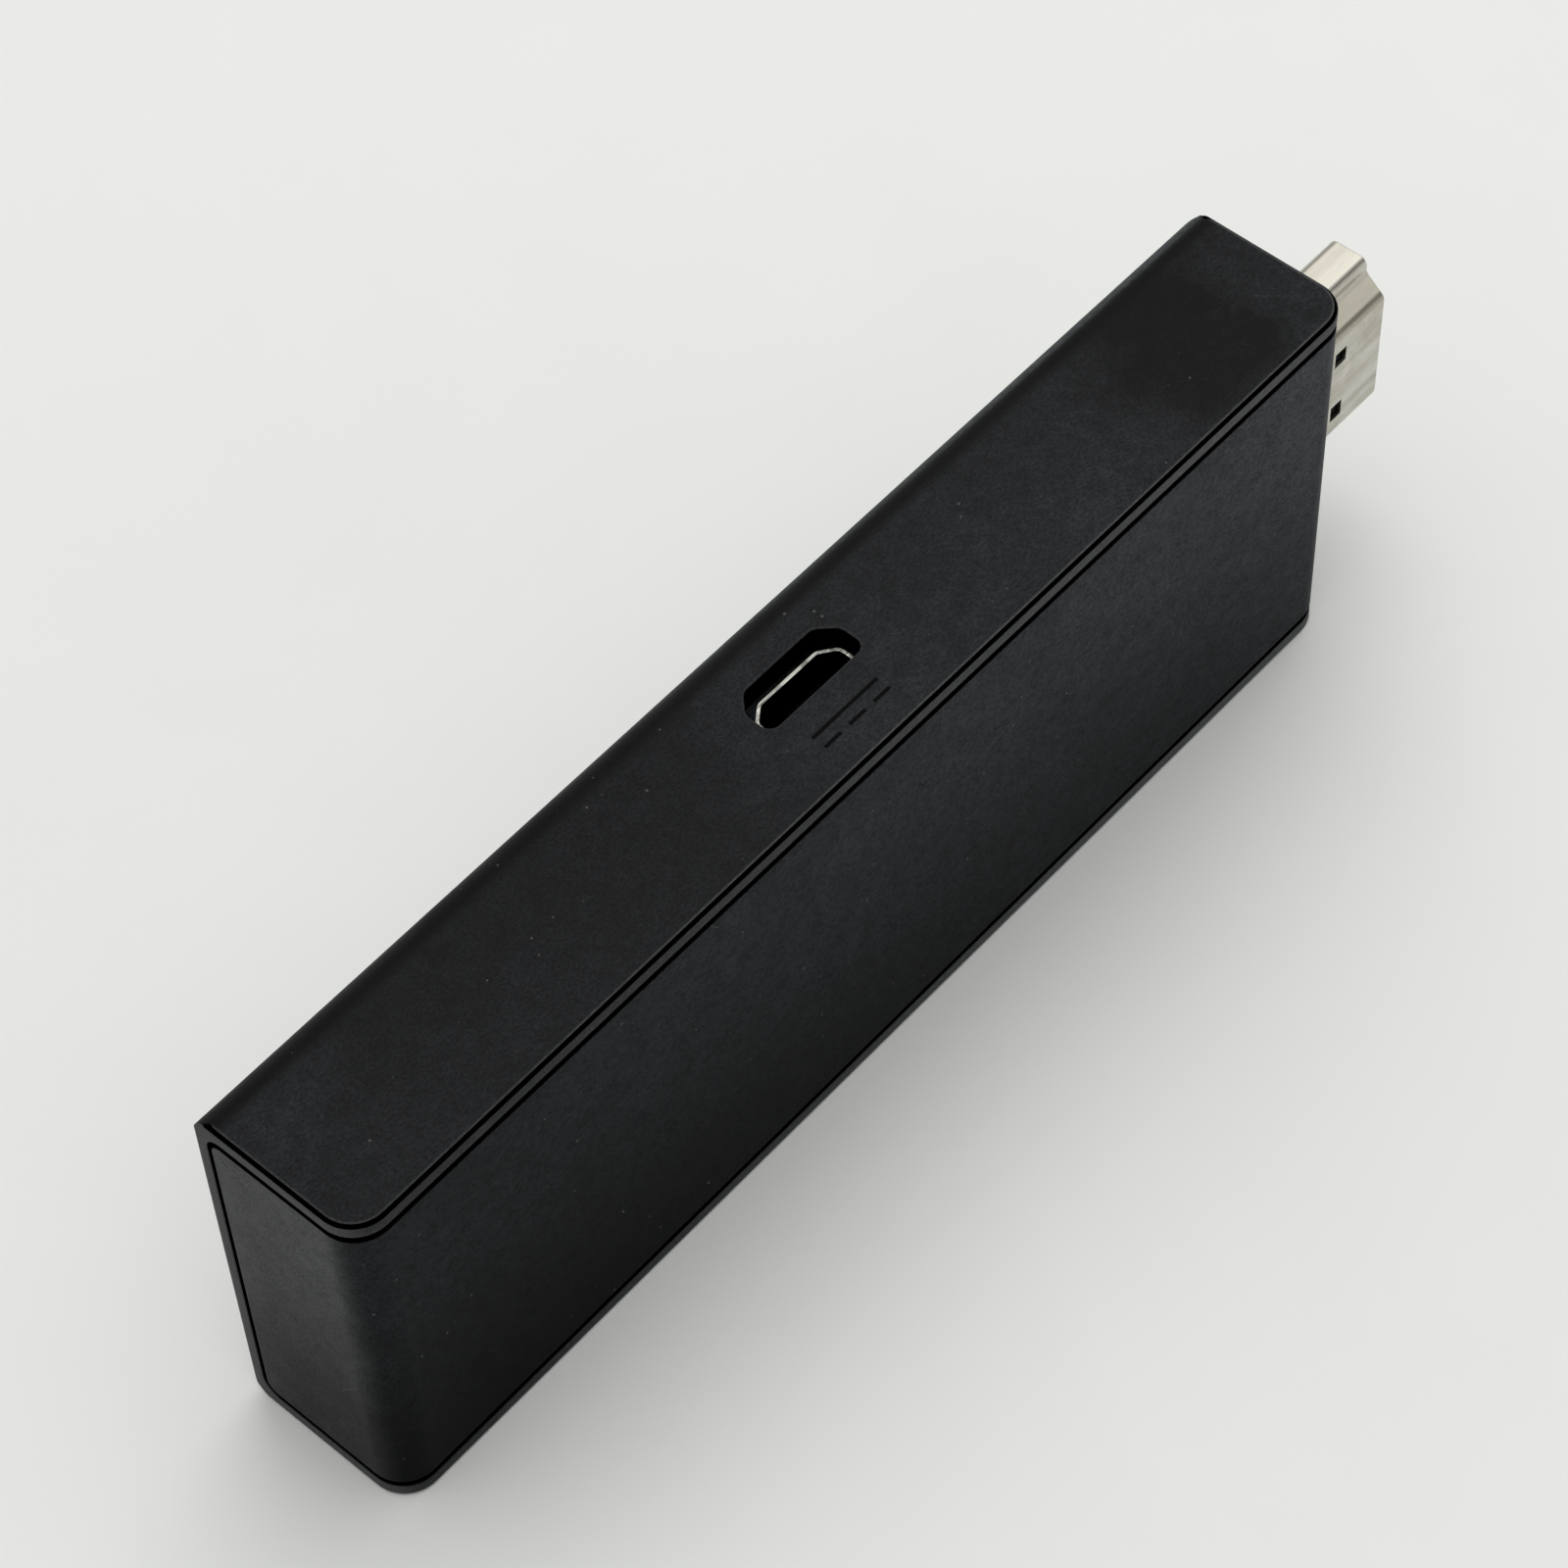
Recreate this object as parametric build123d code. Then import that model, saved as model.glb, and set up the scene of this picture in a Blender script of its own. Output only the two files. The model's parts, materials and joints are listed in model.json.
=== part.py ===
from build123d import *
import os

# A television streaming stick, standing on one narrow side. X runs along the stick and the
# video plug points to +X. Y crosses its two broad faces, with the back face at -Y. Z crosses
# its two narrow sides, and the power socket opens in the upper one. Sizes are millimetres.

# Housing, outside
LENGTH = 85.9            # blank end to plug end, without the plug
THICK = 12.6             # back face to front face
WIDTH = 30.0             # narrow side to narrow side
CORNER_R = 2.4           # between the back face and each end
FRONT_R = 2.2            # along the front face's two long edges
BLANK_END_R = 0.6        # along the front face's short edge at the blank end
PLUG_END_R = 1.5         # along its short edge beside the plug

# Housing walls and the seam between the two mouldings
COVER_WALL = 1.2         # rear cover's back wall
COVER_END = 1.3          # rear cover's two end walls
COVER_BEVEL = 0.15       # bevel of the rear cover's edge beside the seam
LIP = 1.05               # front shell's wall edge that shows as a strip beside the seam
SIDE_WALL = 1.8          # front shell's narrow sides behind the lip
PLATE_LIP = 1.15         # front shell's edge that shows on the ends
PLATE = 1.6              # front shell's broad wall behind the lip
SEAM = 0.45              # gap between the rear cover and the narrow sides' lips
END_SEAM = 0.25          # gap between the end walls and the front plate's lip
SEAM_CORNER_R = 0.9      # the end walls' corners at the front plate
GROOVE_WIDE = 0.3        # shadow groove along the outer corner of each narrow side
GROOVE_DEEP = 0.4
GROOVE_TURN = 45         # degrees between the groove's cut and the narrow side

# Snap hooks inside the long sides
HOOK_LONG = 5.0
HOOK_THICK = 0.8
HOOK_TALL = 4.0
HOOK_NIB = 0.4
HOOK_NIB_TALL = 1.0
HOOK_FIT = 0.1
HOOK_ROOT = 0.4          # how far an arm runs into the back wall
HOOK_AT = (0.16, 0.38, 0.75)   # places along the housing, as shares of its length

# Video plug: a steel D section whose wide side faces the front
PLUG_OUT = 9.5           # beyond the housing
PLUG_IN = 4.6            # inside the housing's end face
PLUG_WIDE = 13.9
PLUG_HIGH = 4.45
PLUG_SIDE = 2.9          # height of the straight sides
PLUG_STEP = 1.1          # step in from each side to where its slope starts
PLUG_SLOPE = 1.3         # width of each slope
PLUG_BEND = 0.6
PLUG_SHEET = 0.3
PLUG_RIM = 0.1           # bevel round the shell's mouth
PLUG_Y = -0.15           # plug's middle, from the housing's middle
PLUG_SEAM = 0.1          # butt joint down the wide side
PLUG_FIT = 0.05          # insulator inside the shell
PLUG_HOLE_FIT = 0.15     # end wall's cut-out round the shell
LATCH_LONG = 1.1
LATCH_WIDE = 1.35
LATCH_PITCH = 5.15
LATCH_FROM_TIP = 4.4
PLUG_LEG_LONG = 3.4
PLUG_LEG_WIDE = 1.5
PLUG_RECESS = 0.6        # insulator behind the shell's rim
PLUG_SLOT_WIDE = 9.8
PLUG_SLOT_HIGH = 1.9
PLUG_SLOT_DEEP = 8.0
CONTACT_PITCH = 1.0
CONTACT_WIDE = 0.3
CONTACT_THICK = 0.2
CONTACT_PROUD = 0.1      # contact above the slot's wall
CONTACT_FIT = 0.05
CONTACT_TAIL = 1.6       # length soldered on the board
CONTACT_REACH = 7.2      # length inside the slot
FRONT_CONTACTS = 10
BACK_CONTACTS = 9

# Power socket: a small D section let into the board's edge, wide side towards the back
SOCKET_X = 43.2          # middle of the socket, from the blank end
SOCKET_SINK = 1.2        # mouth below the housing's narrow side
SOCKET_DEEP = 5.2
SOCKET_WIDE = 7.4
SOCKET_HIGH = 2.45
SOCKET_SIDE = 1.55       # height of the straight sides
SOCKET_SLOPE = 1.2       # width of each slope
SOCKET_BEND = 0.7
SOCKET_SHEET = 0.25
SOCKET_Y = 0.475         # socket's middle, from the housing's middle
SOCKET_FIT = 0.05
SOCKET_BLOCK = 1.6
TONGUE_WIDE = 3.8
TONGUE_THICK = 0.6
TONGUE_BELOW = 0.7       # tongue's end below the mouth
PIN_PITCH = 0.65
PIN_WIDE = 0.25
PIN_THICK = 0.15
PIN_TAIL = 1.4
PINS = 5
SOCKET_TAB_OUT = 1.3
SOCKET_TAB_LONG = 1.1
SOCKET_TAB_PITCH = 2.2
PORT_SIDE_GAP = 0.35     # housing's opening round the socket, at each side
PORT_BACK_GAP = 0.055    # along the wide side
PORT_FRONT_GAP = 0.545   # along the narrow side
PORT_SLOPE_GAP = 0.35    # where the slopes start
PORT_SLOPE = 1.1         # width of each of the opening's slopes
PORT_R = 0.7
PORT_SOFT_R = 0.9
PORT_RIM = 0.15          # bevel round the opening

# Main board
BOARD = 0.8
BOARD_GAP = 0.5          # board's edge to the narrow sides' walls
BOARD_END_GAP = 0.7
BOARD_CUT = 0.2          # cut-outs round the socket and the plug's legs
BOARD_CORNER = 1.0

# Posts on the front plate that carry the board, and bosses on the cover that hold it down
POST_NEAR = 9.8          # from the blank end
POST_FAR = 11.2          # from the plug end
POST_INSET = 4.9         # from the narrow sides
POST_R = 1.3
PEG_R = 0.55
PEG_TALL = 0.6           # peg past the board
PEG_HOLE_R = 0.65
BOSS_R = 1.5
BOSS_BORE_R = 0.75
BOSS_ROOT = 0.2          # how far a boss runs into the back wall

# Shield cans, chips and pads
CAN_SHEET = 0.2
CAN_FIT = 0.05
CAN_SKIRT = 1.1
CAN_FLANGE = 0.8
CAN_BAR = 1.0            # cross bar between two windows of a can's frame
CAN_SLOT = 0.5           # slots that part the lid's skirt into springs
CAN_SLOT_PITCH = 4.2
CAN_TALL = 1.9
REAR_CAN_TALL = 1.7
CAN_INSET = 3.6          # cans from the narrow side without the socket
CAN_FROM_SOCKET = 0.6    # front can's edge below the socket's soldered pins
RADIO_FROM_POST = 1.7    # radio can from the bosses near the blank end
RADIO_LONG = 12.0
RADIO_SHORTER = 1.0      # radio can's edges inside the others'
CAN_APART = 2.0          # between the radio can and the others
CAN_FROM_POST = 3.3      # front can from the bosses near the plug
REAR_CAN_SHORTER = 11.0  # rear can, shorter than the front one at the plug's end
CHIP_CHAMFER = 0.15
DIMPLE_R = 0.3
DIMPLE_DEEP = 0.05
DIMPLE_IN = 0.9          # dimple's middle from the package's edges
PROCESSOR = (14.0, 14.0, 1.2)
MEMORY = (12.0, 10.0, 1.0)
FLASH = (11.5, 13.0, 1.0)
RADIO = (7.0, 7.0, 0.9)
POWER_CHIP = (4.0, 4.0, 0.8)
CHIP_GAP = 1.8           # chips to the can's frame
PART_GAP = 0.8           # between small parts on the board
INDUCTOR = (2.5, 2.0, 1.2)
INDUCTOR_BEVEL = 0.35
INDUCTOR_PITCH = 3.2
INDUCTORS = 3
CAPACITOR = (1.6, 0.8, 0.8)
CAPACITOR_PITCH = 2.2
CAPACITORS = 6           # in the row beside the processor
POWER_CAPACITORS = 3     # in the column beside the power chip
CRYSTAL = (2.5, 2.0, 0.6)
CRYSTAL_BEVEL = 0.25
FILTER = (1.2, 1.0, 0.6)
FILTER_PITCH = 2.4
FILTERS = 4
FILTER_GAP = 1.8         # filters behind the contacts' tails
PAD_INSET = 1.0          # pads inside the edge of what they cool
SPREADER = 0.8
SPREADER_R = 1.5
SPREADER_INSET = 4.2     # from the housing's narrow sides
SPREADER_FROM_POST = 1.0
TAPE = 0.1

# Stamped antennas at the blank end
ANTENNA_SHEET = 0.2
ANTENNA_RISE = 3.0
ANTENNA_ARM = 2.6
ANTENNA_FOOT = 1.2
ANTENNA_INSET = 0.7      # antenna's end to the board's edge
ANTENNA_LEG = 1.2
ANTENNA_LEG_GAP = 2.4
ANTENNA_FROM_EDGE = 1.0
ANTENNA_APART = 3.4

# How far a cutting shape runs past what it cuts
PAST = 1.0

# Places worked out from the sizes above
X_NEAR = -(LENGTH + PLUG_OUT) / 2
X_FAR = X_NEAR + LENGTH
X_TIP = X_FAR + PLUG_OUT
X_PLUG_REAR = X_FAR - PLUG_IN
Y_BACK = -THICK / 2
Y_FRONT = THICK / 2
Y_COVER = Y_BACK + COVER_WALL
Y_PLATE = Y_FRONT - PLATE
Z_MID = WIDTH / 2
BOARD_FRONT = PLUG_Y + BOARD / 2
BOARD_BACK = PLUG_Y - BOARD / 2
BOARD_NEAR = X_NEAR + COVER_END + BOARD_END_GAP
BOARD_LOW = SIDE_WALL + BOARD_GAP
BOARD_HIGH = WIDTH - SIDE_WALL - BOARD_GAP
ANTENNA_LONG = (BOARD_HIGH - BOARD_LOW - ANTENNA_APART) / 2 - ANTENNA_INSET
SOCKET_AT = X_NEAR + SOCKET_X
SOCKET_MOUTH = WIDTH - SOCKET_SINK
SOCKET_REAR = SOCKET_MOUTH - SOCKET_DEEP
CAN_LOW = CAN_INSET
CAN_HIGH = SOCKET_REAR - PIN_TAIL - CAN_FROM_SOCKET
CAN_OUT = CAN_FIT + CAN_SHEET
RADIO_START = X_NEAR + POST_NEAR + BOSS_R + RADIO_FROM_POST
RADIO_X = (RADIO_START, RADIO_START + RADIO_LONG)
CAN_X = (RADIO_X[1] + CAN_APART, X_FAR - POST_FAR - BOSS_R - CAN_FROM_POST)
REAR_CAN_X = (CAN_X[0], CAN_X[1] - REAR_CAN_SHORTER)
CAN_Z = (CAN_LOW, CAN_HIGH)
RADIO_Z = (CAN_INSET + RADIO_SHORTER, WIDTH - CAN_INSET - RADIO_SHORTER)
FRONT_LID = BOARD_FRONT + CAN_TALL
REAR_LID = BOARD_BACK - REAR_CAN_TALL
SPREADER_X = (X_NEAR + POST_NEAR + BOSS_R + SPREADER_FROM_POST,
              X_FAR - POST_FAR - BOSS_R - SPREADER_FROM_POST)
SPREADER_Z = (SPREADER_INSET, WIDTH - SPREADER_INSET)
POSTS = [(x, z) for x in (X_NEAR + POST_NEAR, X_FAR - POST_FAR)
         for z in (POST_INSET, WIDTH - POST_INSET)]


def block(x, y, z):
    """A box between a low and a high place on each axis."""
    spans = (sorted(x), sorted(y), sorted(z))
    middle = [(low + high) / 2 for low, high in spans]
    return Pos(*middle) * Box(*[high - low for low, high in spans])


def span(middle, size):
    """A low and a high place either side of a middle."""
    return (middle - size / 2, middle + size / 2)


def past(places):
    """A cutting shape's low and high places, clear of what lies between the two given."""
    return (min(places) - PAST, max(places) + PAST)


def even(middle, pitch, count):
    """Places at a pitch, even about a middle."""
    return [middle + (i - (count - 1) / 2) * pitch for i in range(count)]


def outline(corners):
    """A face through corners (u, v, radius), each rounded by its radius."""
    face = Sketch() + make_face(Polyline(*[(u, v) for u, v, r in corners], close=True))
    for u, v, r in corners:
        if r > 0:
            face = fillet(face.vertices().sort_by_distance((u, v))[0], r)
    return face


def along_x(face, x):
    """A (Y, Z) face carried between two places on X."""
    return extrude(Plane.YZ.offset(min(x)) * face, max(x) - min(x))


def along_y(face, y):
    """An (X, Z) face carried between two places on Y."""
    return extrude(Plane.XZ.offset(-max(y)) * face, max(y) - min(y))


def along_z(face, z):
    """An (X, Y) face carried between two places on Z."""
    return extrude(Plane.XY.offset(min(z)) * face, max(z) - min(z))


def round_x(x, y, z, r):
    """A bar along X whose two front edges are rounded."""
    return along_x(outline([(y[0], z[0], 0), (y[1], z[0], r), (y[1], z[1], r), (y[0], z[1], 0)]), x)


def both_sides(shape):
    """A shape with its mirror copy on the other narrow side."""
    return shape + mirror(shape, Plane.XY.offset(Z_MID))


def rod(x, z, r, y):
    """A round bar along Y."""
    return along_y(Pos(x, z) * Circle(r), y)


# Housing

def shadow_groove():
    """The narrow slot cut into the upper narrow side's outer corner, round both ends."""
    near, far = (X_NEAR, Y_FRONT), (X_FAR, Y_FRONT)
    path = FilletPolyline(near, (X_NEAR, Y_BACK), (X_FAR, Y_BACK), far, radius=CORNER_R)
    path = Pos(0, 0, WIDTH) * path
    start = Plane(origin=(X_NEAR, Y_FRONT, WIDTH), x_dir=(1, 0, 0), z_dir=(0, -1, 0))
    slot = start * (Rot(0, 0, GROOVE_TURN) * Rectangle(GROOVE_WIDE, 2 * GROOVE_DEEP))
    return sweep(slot, path)


def wrap_inside():
    """The plan of the space inside the rear cover's U, open to the front."""
    inner_r = CORNER_R - COVER_WALL
    return outline([(X_NEAR + COVER_END, Y_COVER, inner_r), (X_FAR - COVER_END, Y_COVER, inner_r),
                    (X_FAR - COVER_END, Y_FRONT, 0), (X_NEAR + COVER_END, Y_FRONT, 0)])


def hook_places():
    return [X_NEAR + share * LENGTH for share in HOOK_AT]


def port_opening():
    """The housing's opening for the power plug, its narrow flat side to the front."""
    low = SOCKET_Y - SOCKET_HIGH / 2 - PORT_BACK_GAP
    high = SOCKET_Y + SOCKET_HIGH / 2 + PORT_FRONT_GAP
    shoulder = low + SOCKET_SIDE + PORT_SLOPE_GAP
    wide = SOCKET_WIDE / 2 + PORT_SIDE_GAP
    flat = wide - PORT_SLOPE
    face = outline([(-wide, low, PORT_R), (wide, low, PORT_R), (wide, shoulder, PORT_SOFT_R),
                    (flat, high, PORT_SOFT_R), (-flat, high, PORT_SOFT_R), (-wide, shoulder, PORT_SOFT_R)])
    return Pos(SOCKET_AT, 0) * face


def front_shell():
    """The tray: front face and both narrow sides in one moulding, open at the back and ends."""
    shell = round_x((X_NEAR, X_FAR), (Y_BACK, Y_FRONT), (0, WIDTH), FRONT_R)
    plan = outline([(X_NEAR, Y_BACK, CORNER_R), (X_FAR, Y_BACK, CORNER_R),
                    (X_FAR, Y_FRONT, PLUG_END_R), (X_NEAR, Y_FRONT, BLANK_END_R)])
    shell &= along_z(plan, (0, WIDTH))
    lips = (LIP, WIDTH - LIP)
    walls = (SIDE_WALL, WIDTH - SIDE_WALL)
    seat = round_x(past((X_NEAR, X_FAR)), (Y_BACK - PAST, Y_FRONT - PLATE_LIP), lips, SEAM_CORNER_R + SEAM)
    shell -= seat - along_z(wrap_inside(), (0, WIDTH))
    inside = past((X_NEAR + COVER_END, X_FAR - COVER_END))
    shell -= round_x(inside, (Y_BACK - PAST, Y_PLATE), walls, SEAM_CORNER_R)
    shell -= both_sides(shadow_groove())
    catch = Y_COVER + HOOK_TALL - HOOK_NIB_TALL - HOOK_FIT
    pocket = (catch, Y_COVER + HOOK_TALL + HOOK_FIT)
    for x in hook_places():
        half = HOOK_LONG / 2 + HOOK_FIT
        depth = HOOK_NIB + HOOK_FIT
        top = block((x - half, x + half), pocket, (walls[1] - PAST, walls[1] + depth - HOOK_FIT))
        shell -= both_sides(top)
    shell -= along_z(port_opening(), past((WIDTH - SIDE_WALL, WIDTH)))
    rim = shell.faces().sort_by(Axis.Z)[-1].inner_wires()[0].edges()
    shell = chamfer(rim, PORT_RIM)
    for x, z in POSTS:
        shell += rod(x, z, POST_R, (BOARD_FRONT, Y_PLATE))
        shell += rod(x, z, PEG_R, (BOARD_BACK - PEG_TALL, BOARD_FRONT))
    return shell


def hook(x):
    """One springy arm of the rear cover with its nib, under the upper narrow side."""
    outer = WIDTH - SIDE_WALL - HOOK_FIT
    tip = Y_COVER + HOOK_TALL
    root = Y_COVER - HOOK_ROOT
    nib = tip - HOOK_NIB_TALL
    profile = outline([(root, outer - HOOK_THICK, 0), (root, outer, 0), (nib, outer, 0),
                       (nib, outer + HOOK_NIB, 0), (tip, outer, 0), (tip, outer - HOOK_THICK, 0)])
    return along_x(profile, (x - HOOK_LONG / 2, x + HOOK_LONG / 2))


def rear_cover():
    """The wrap: back face and both ends in one U-shaped moulding, set inside the tray's lips."""
    low, high = LIP + SEAM, WIDTH - LIP - SEAM
    front = Y_FRONT - PLATE_LIP - END_SEAM
    cover = round_x((X_NEAR, X_FAR), (Y_BACK, front), (low, high), SEAM_CORNER_R)
    plan = outline([(X_NEAR, Y_BACK, CORNER_R), (X_FAR, Y_BACK, CORNER_R),
                    (X_FAR, front, 0), (X_NEAR, front, 0)])
    cover &= along_z(plan, (low, high))
    seam = [edge for level in (low, high) for edge in cover.edges().filter_by_position(Axis.Z, level, level)
            if edge.center().Y < front - SEAM_CORNER_R]
    cover = chamfer(seam, COVER_BEVEL)
    cover -= along_z(wrap_inside(), past((low, high)))
    for x in hook_places():
        cover += both_sides(hook(x))
    for x, z in POSTS:
        cover += rod(x, z, BOSS_R, (Y_COVER - BOSS_ROOT, BOARD_BACK))
        cover -= rod(x, z, BOSS_BORE_R, (Y_COVER, BOARD_BACK))
    cover -= along_x(plug_section(PLUG_HOLE_FIT), past((X_FAR - COVER_END, X_FAR)))
    return cover


# Video plug

def plug_section(grow=0.0):
    """The plug's D section, grown by a clearance or shrunk by a wall."""
    wide = PLUG_Y + PLUG_HIGH / 2
    neck = PLUG_WIDE / 2 - PLUG_STEP
    half = [(wide, PLUG_WIDE / 2), (wide - PLUG_SIDE, PLUG_WIDE / 2),
            (wide - PLUG_SIDE, neck), (wide - PLUG_HIGH, neck - PLUG_SLOPE)]
    points = [(y, Z_MID + w) for y, w in half] + [(y, Z_MID - w) for y, w in reversed(half)]
    face = outline([(y, z, PLUG_BEND) for y, z in points])
    return offset(face, grow) if grow else face


def plug_shell():
    """The folded steel shell, with its latch holes, butt joint and two soldered legs."""
    x = (X_PLUG_REAR, X_TIP)
    tube = along_x(plug_section(), x)
    tube = chamfer(tube.faces().sort_by(Axis.X)[-1].edges(), PLUG_RIM)
    tube -= along_x(plug_section(-PLUG_SHEET), past(x))
    for z in even(Z_MID, LATCH_PITCH, 2):
        latch = span(X_TIP - LATCH_FROM_TIP, LATCH_LONG)
        tube -= block(latch, span(PLUG_Y, 2 * PLUG_HIGH), span(z, LATCH_WIDE))
    tube -= block(past(x), (PLUG_Y, PLUG_Y + PLUG_HIGH), span(Z_MID, PLUG_SEAM))
    for z in (Z_MID + PLUG_WIDE / 2 - PLUG_SHEET, Z_MID - PLUG_WIDE / 2):
        y = PLUG_Y + PLUG_HIGH / 2 - PLUG_BEND
        tube += block((x[0] - PLUG_LEG_LONG, x[0]), (y - PLUG_LEG_WIDE, y), (z, z + PLUG_SHEET))
    return tube


def contact_rows():
    """Each plug contact's side (+1 front, -1 back) and place across the plug."""
    counts = ((1, FRONT_CONTACTS), (-1, BACK_CONTACTS))
    return [(side, z) for side, count in counts for z in even(Z_MID, CONTACT_PITCH, count)]


def contact_span():
    """The contacts' inner and outer faces, from the plug's middle plane."""
    inner = PLUG_SLOT_HIGH / 2 - CONTACT_PROUD
    return inner, inner + CONTACT_THICK


def slot_mouth():
    return X_TIP - PLUG_RECESS


def plug_insulator():
    """The moulding inside the shell, with the slot for the mating tongue and its contacts' grooves."""
    mouth = slot_mouth()
    body = along_x(plug_section(-PLUG_SHEET - PLUG_FIT), (X_PLUG_REAR, mouth))
    body -= block((mouth - PLUG_SLOT_DEEP, mouth + PAST), span(PLUG_Y, PLUG_SLOT_HIGH),
                  span(Z_MID, PLUG_SLOT_WIDE))
    inner, outer = contact_span()
    front = mouth - PLUG_SLOT_DEEP + CONTACT_REACH + CONTACT_FIT
    for side, z in contact_rows():
        body -= block((X_PLUG_REAR - PAST, front), (PLUG_Y + side * inner, PLUG_Y + side * outer),
                      span(z, CONTACT_WIDE + 2 * CONTACT_FIT))
    return body


def plug_contact(side, z):
    """One contact: a flat strip through the insulator, stepped down on to the board."""
    inner, outer = contact_span()
    tip = slot_mouth() - PLUG_SLOT_DEEP + CONTACT_REACH
    low, high = BOARD / 2, BOARD / 2 + CONTACT_THICK
    step = X_PLUG_REAR - CONTACT_THICK
    fall = outer - high
    end = step - fall - CONTACT_TAIL
    points = [(tip, inner), (tip, outer), (step, outer), (step - fall, high), (end, high),
              (end, low), (step - fall, low), (step, inner)]
    face = outline([(x, PLUG_Y + side * y, 0) for x, y in points])
    return along_z(face, span(z, CONTACT_WIDE))


def plug_contacts(side):
    return Compound([plug_contact(s, z) for s, z in contact_rows() if s == side])


# Power socket

def socket_section(grow=0.0):
    """The socket's D section, its wide side to the back, grown or shrunk."""
    low, high = SOCKET_Y - SOCKET_HIGH / 2, SOCKET_Y + SOCKET_HIGH / 2
    wide = SOCKET_WIDE / 2
    half = [(wide, low), (wide, low + SOCKET_SIDE), (wide - SOCKET_SLOPE, high)]
    points = half + [(-x, y) for x, y in reversed(half)]
    face = Pos(SOCKET_AT, 0) * outline([(x, y, SOCKET_BEND) for x, y in points])
    return offset(face, grow) if grow else face


def power_socket_shell():
    """The socket's folded steel shell with four tabs soldered on the board."""
    z = (SOCKET_REAR, SOCKET_MOUTH)
    shell = along_z(socket_section(), z)
    shell -= along_z(socket_section(-SOCKET_SHEET), past(z))
    for side in (-1, 1):
        for step in (0, 1):
            low = SOCKET_REAR + SOCKET_TAB_LONG / 2 + step * SOCKET_TAB_PITCH
            wall = SOCKET_AT + side * (SOCKET_WIDE / 2 - SOCKET_SHEET)
            tip = SOCKET_AT + side * (SOCKET_WIDE / 2 + SOCKET_TAB_OUT)
            shell += block((wall, tip), (BOARD_FRONT, BOARD_FRONT + SOCKET_SHEET),
                           (low, low + SOCKET_TAB_LONG))
    return shell


def power_socket_insulator():
    """The socket's moulding: a block that fills the rear and the tongue that carries the pins."""
    body = along_z(socket_section(-SOCKET_SHEET - SOCKET_FIT), (SOCKET_REAR, SOCKET_REAR + SOCKET_BLOCK))
    tongue = (SOCKET_REAR, SOCKET_MOUTH - TONGUE_BELOW)
    body += block(span(SOCKET_AT, TONGUE_WIDE), (BOARD_FRONT - TONGUE_THICK, BOARD_FRONT), tongue)
    for x in even(SOCKET_AT, PIN_PITCH, PINS):
        body -= block(span(x, PIN_WIDE), (BOARD_FRONT, BOARD_FRONT + PIN_THICK),
                      past((SOCKET_REAR, SOCKET_REAR + SOCKET_BLOCK)))
    return body


def power_socket_contacts():
    """Five flat pins from the board's face to near the tongue's end."""
    z = (SOCKET_REAR - PIN_TAIL, SOCKET_MOUTH - TONGUE_BELOW - PIN_WIDE)
    return Compound([block(span(x, PIN_WIDE), (BOARD_FRONT, BOARD_FRONT + PIN_THICK), z)
                     for x in even(SOCKET_AT, PIN_PITCH, PINS)])


# Main board and what is soldered on it

def main_board():
    """The board, cut out round the power socket, the plug's legs and the pegs."""
    face = outline([(BOARD_NEAR, BOARD_LOW, BOARD_CORNER), (X_PLUG_REAR, BOARD_LOW, BOARD_CORNER),
                    (X_PLUG_REAR, BOARD_HIGH, BOARD_CORNER), (BOARD_NEAR, BOARD_HIGH, BOARD_CORNER)])
    board = along_y(face, (BOARD_BACK, BOARD_FRONT))
    through = past((BOARD_BACK, BOARD_FRONT))
    board -= block(span(SOCKET_AT, SOCKET_WIDE + 2 * BOARD_CUT), through, (SOCKET_REAR - BOARD_CUT, WIDTH))
    for z in (Z_MID + PLUG_WIDE / 2 - PLUG_SHEET, Z_MID - PLUG_WIDE / 2):
        board -= block((X_PLUG_REAR - PLUG_LEG_LONG - BOARD_CUT, X_FAR), through,
                       (z - BOARD_CUT, z + PLUG_SHEET + BOARD_CUT))
    for x, z in POSTS:
        board -= rod(x, z, PEG_HOLE_R, through)
    return board


def on_board(side, height):
    """The Y span of a part of a height on the board's front (+1) or back (-1) face."""
    face = BOARD_FRONT if side > 0 else BOARD_BACK
    return (face, face + side * height)


def chip(x, z, size, side=1):
    """A moulded package with softened top edges and its first-pin dimple."""
    across, tall, height = size
    y = on_board(side, height)
    body = block(span(x, across), y, span(z, tall))
    top = body.faces().sort_by(Axis.Y)[-1 if side > 0 else 0]
    body = chamfer(top.edges(), CHIP_CHAMFER)
    body -= rod(x - across / 2 + DIMPLE_IN, z + tall / 2 - DIMPLE_IN, DIMPLE_R,
                (y[1] - side * DIMPLE_DEEP, y[1] + side * PAST))
    return body


def can_frame(x, z, tall, side=1, bars=()):
    """A shield's soldered fence, with an inward flange and cross bars between its windows."""
    y = on_board(side, tall - CAN_SHEET)
    wall = block(x, y, z)
    flange = (y[1] - side * CAN_SHEET, y[1])
    wall -= block((x[0] + CAN_SHEET, x[1] - CAN_SHEET), (y[0] - side * PAST, flange[0]),
                  (z[0] + CAN_SHEET, z[1] - CAN_SHEET))
    starts = [x[0] + CAN_FLANGE] + [bar + CAN_BAR / 2 for bar in bars]
    stops = [bar - CAN_BAR / 2 for bar in bars] + [x[1] - CAN_FLANGE]
    for low, high in zip(starts, stops):
        opening = Pos((low + high) / 2, (z[0] + z[1]) / 2) * RectangleRounded(
            high - low, z[1] - z[0] - 2 * CAN_FLANGE, CAN_FLANGE / 2)
        wall -= along_y(opening, past(flange))
    return wall


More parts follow.
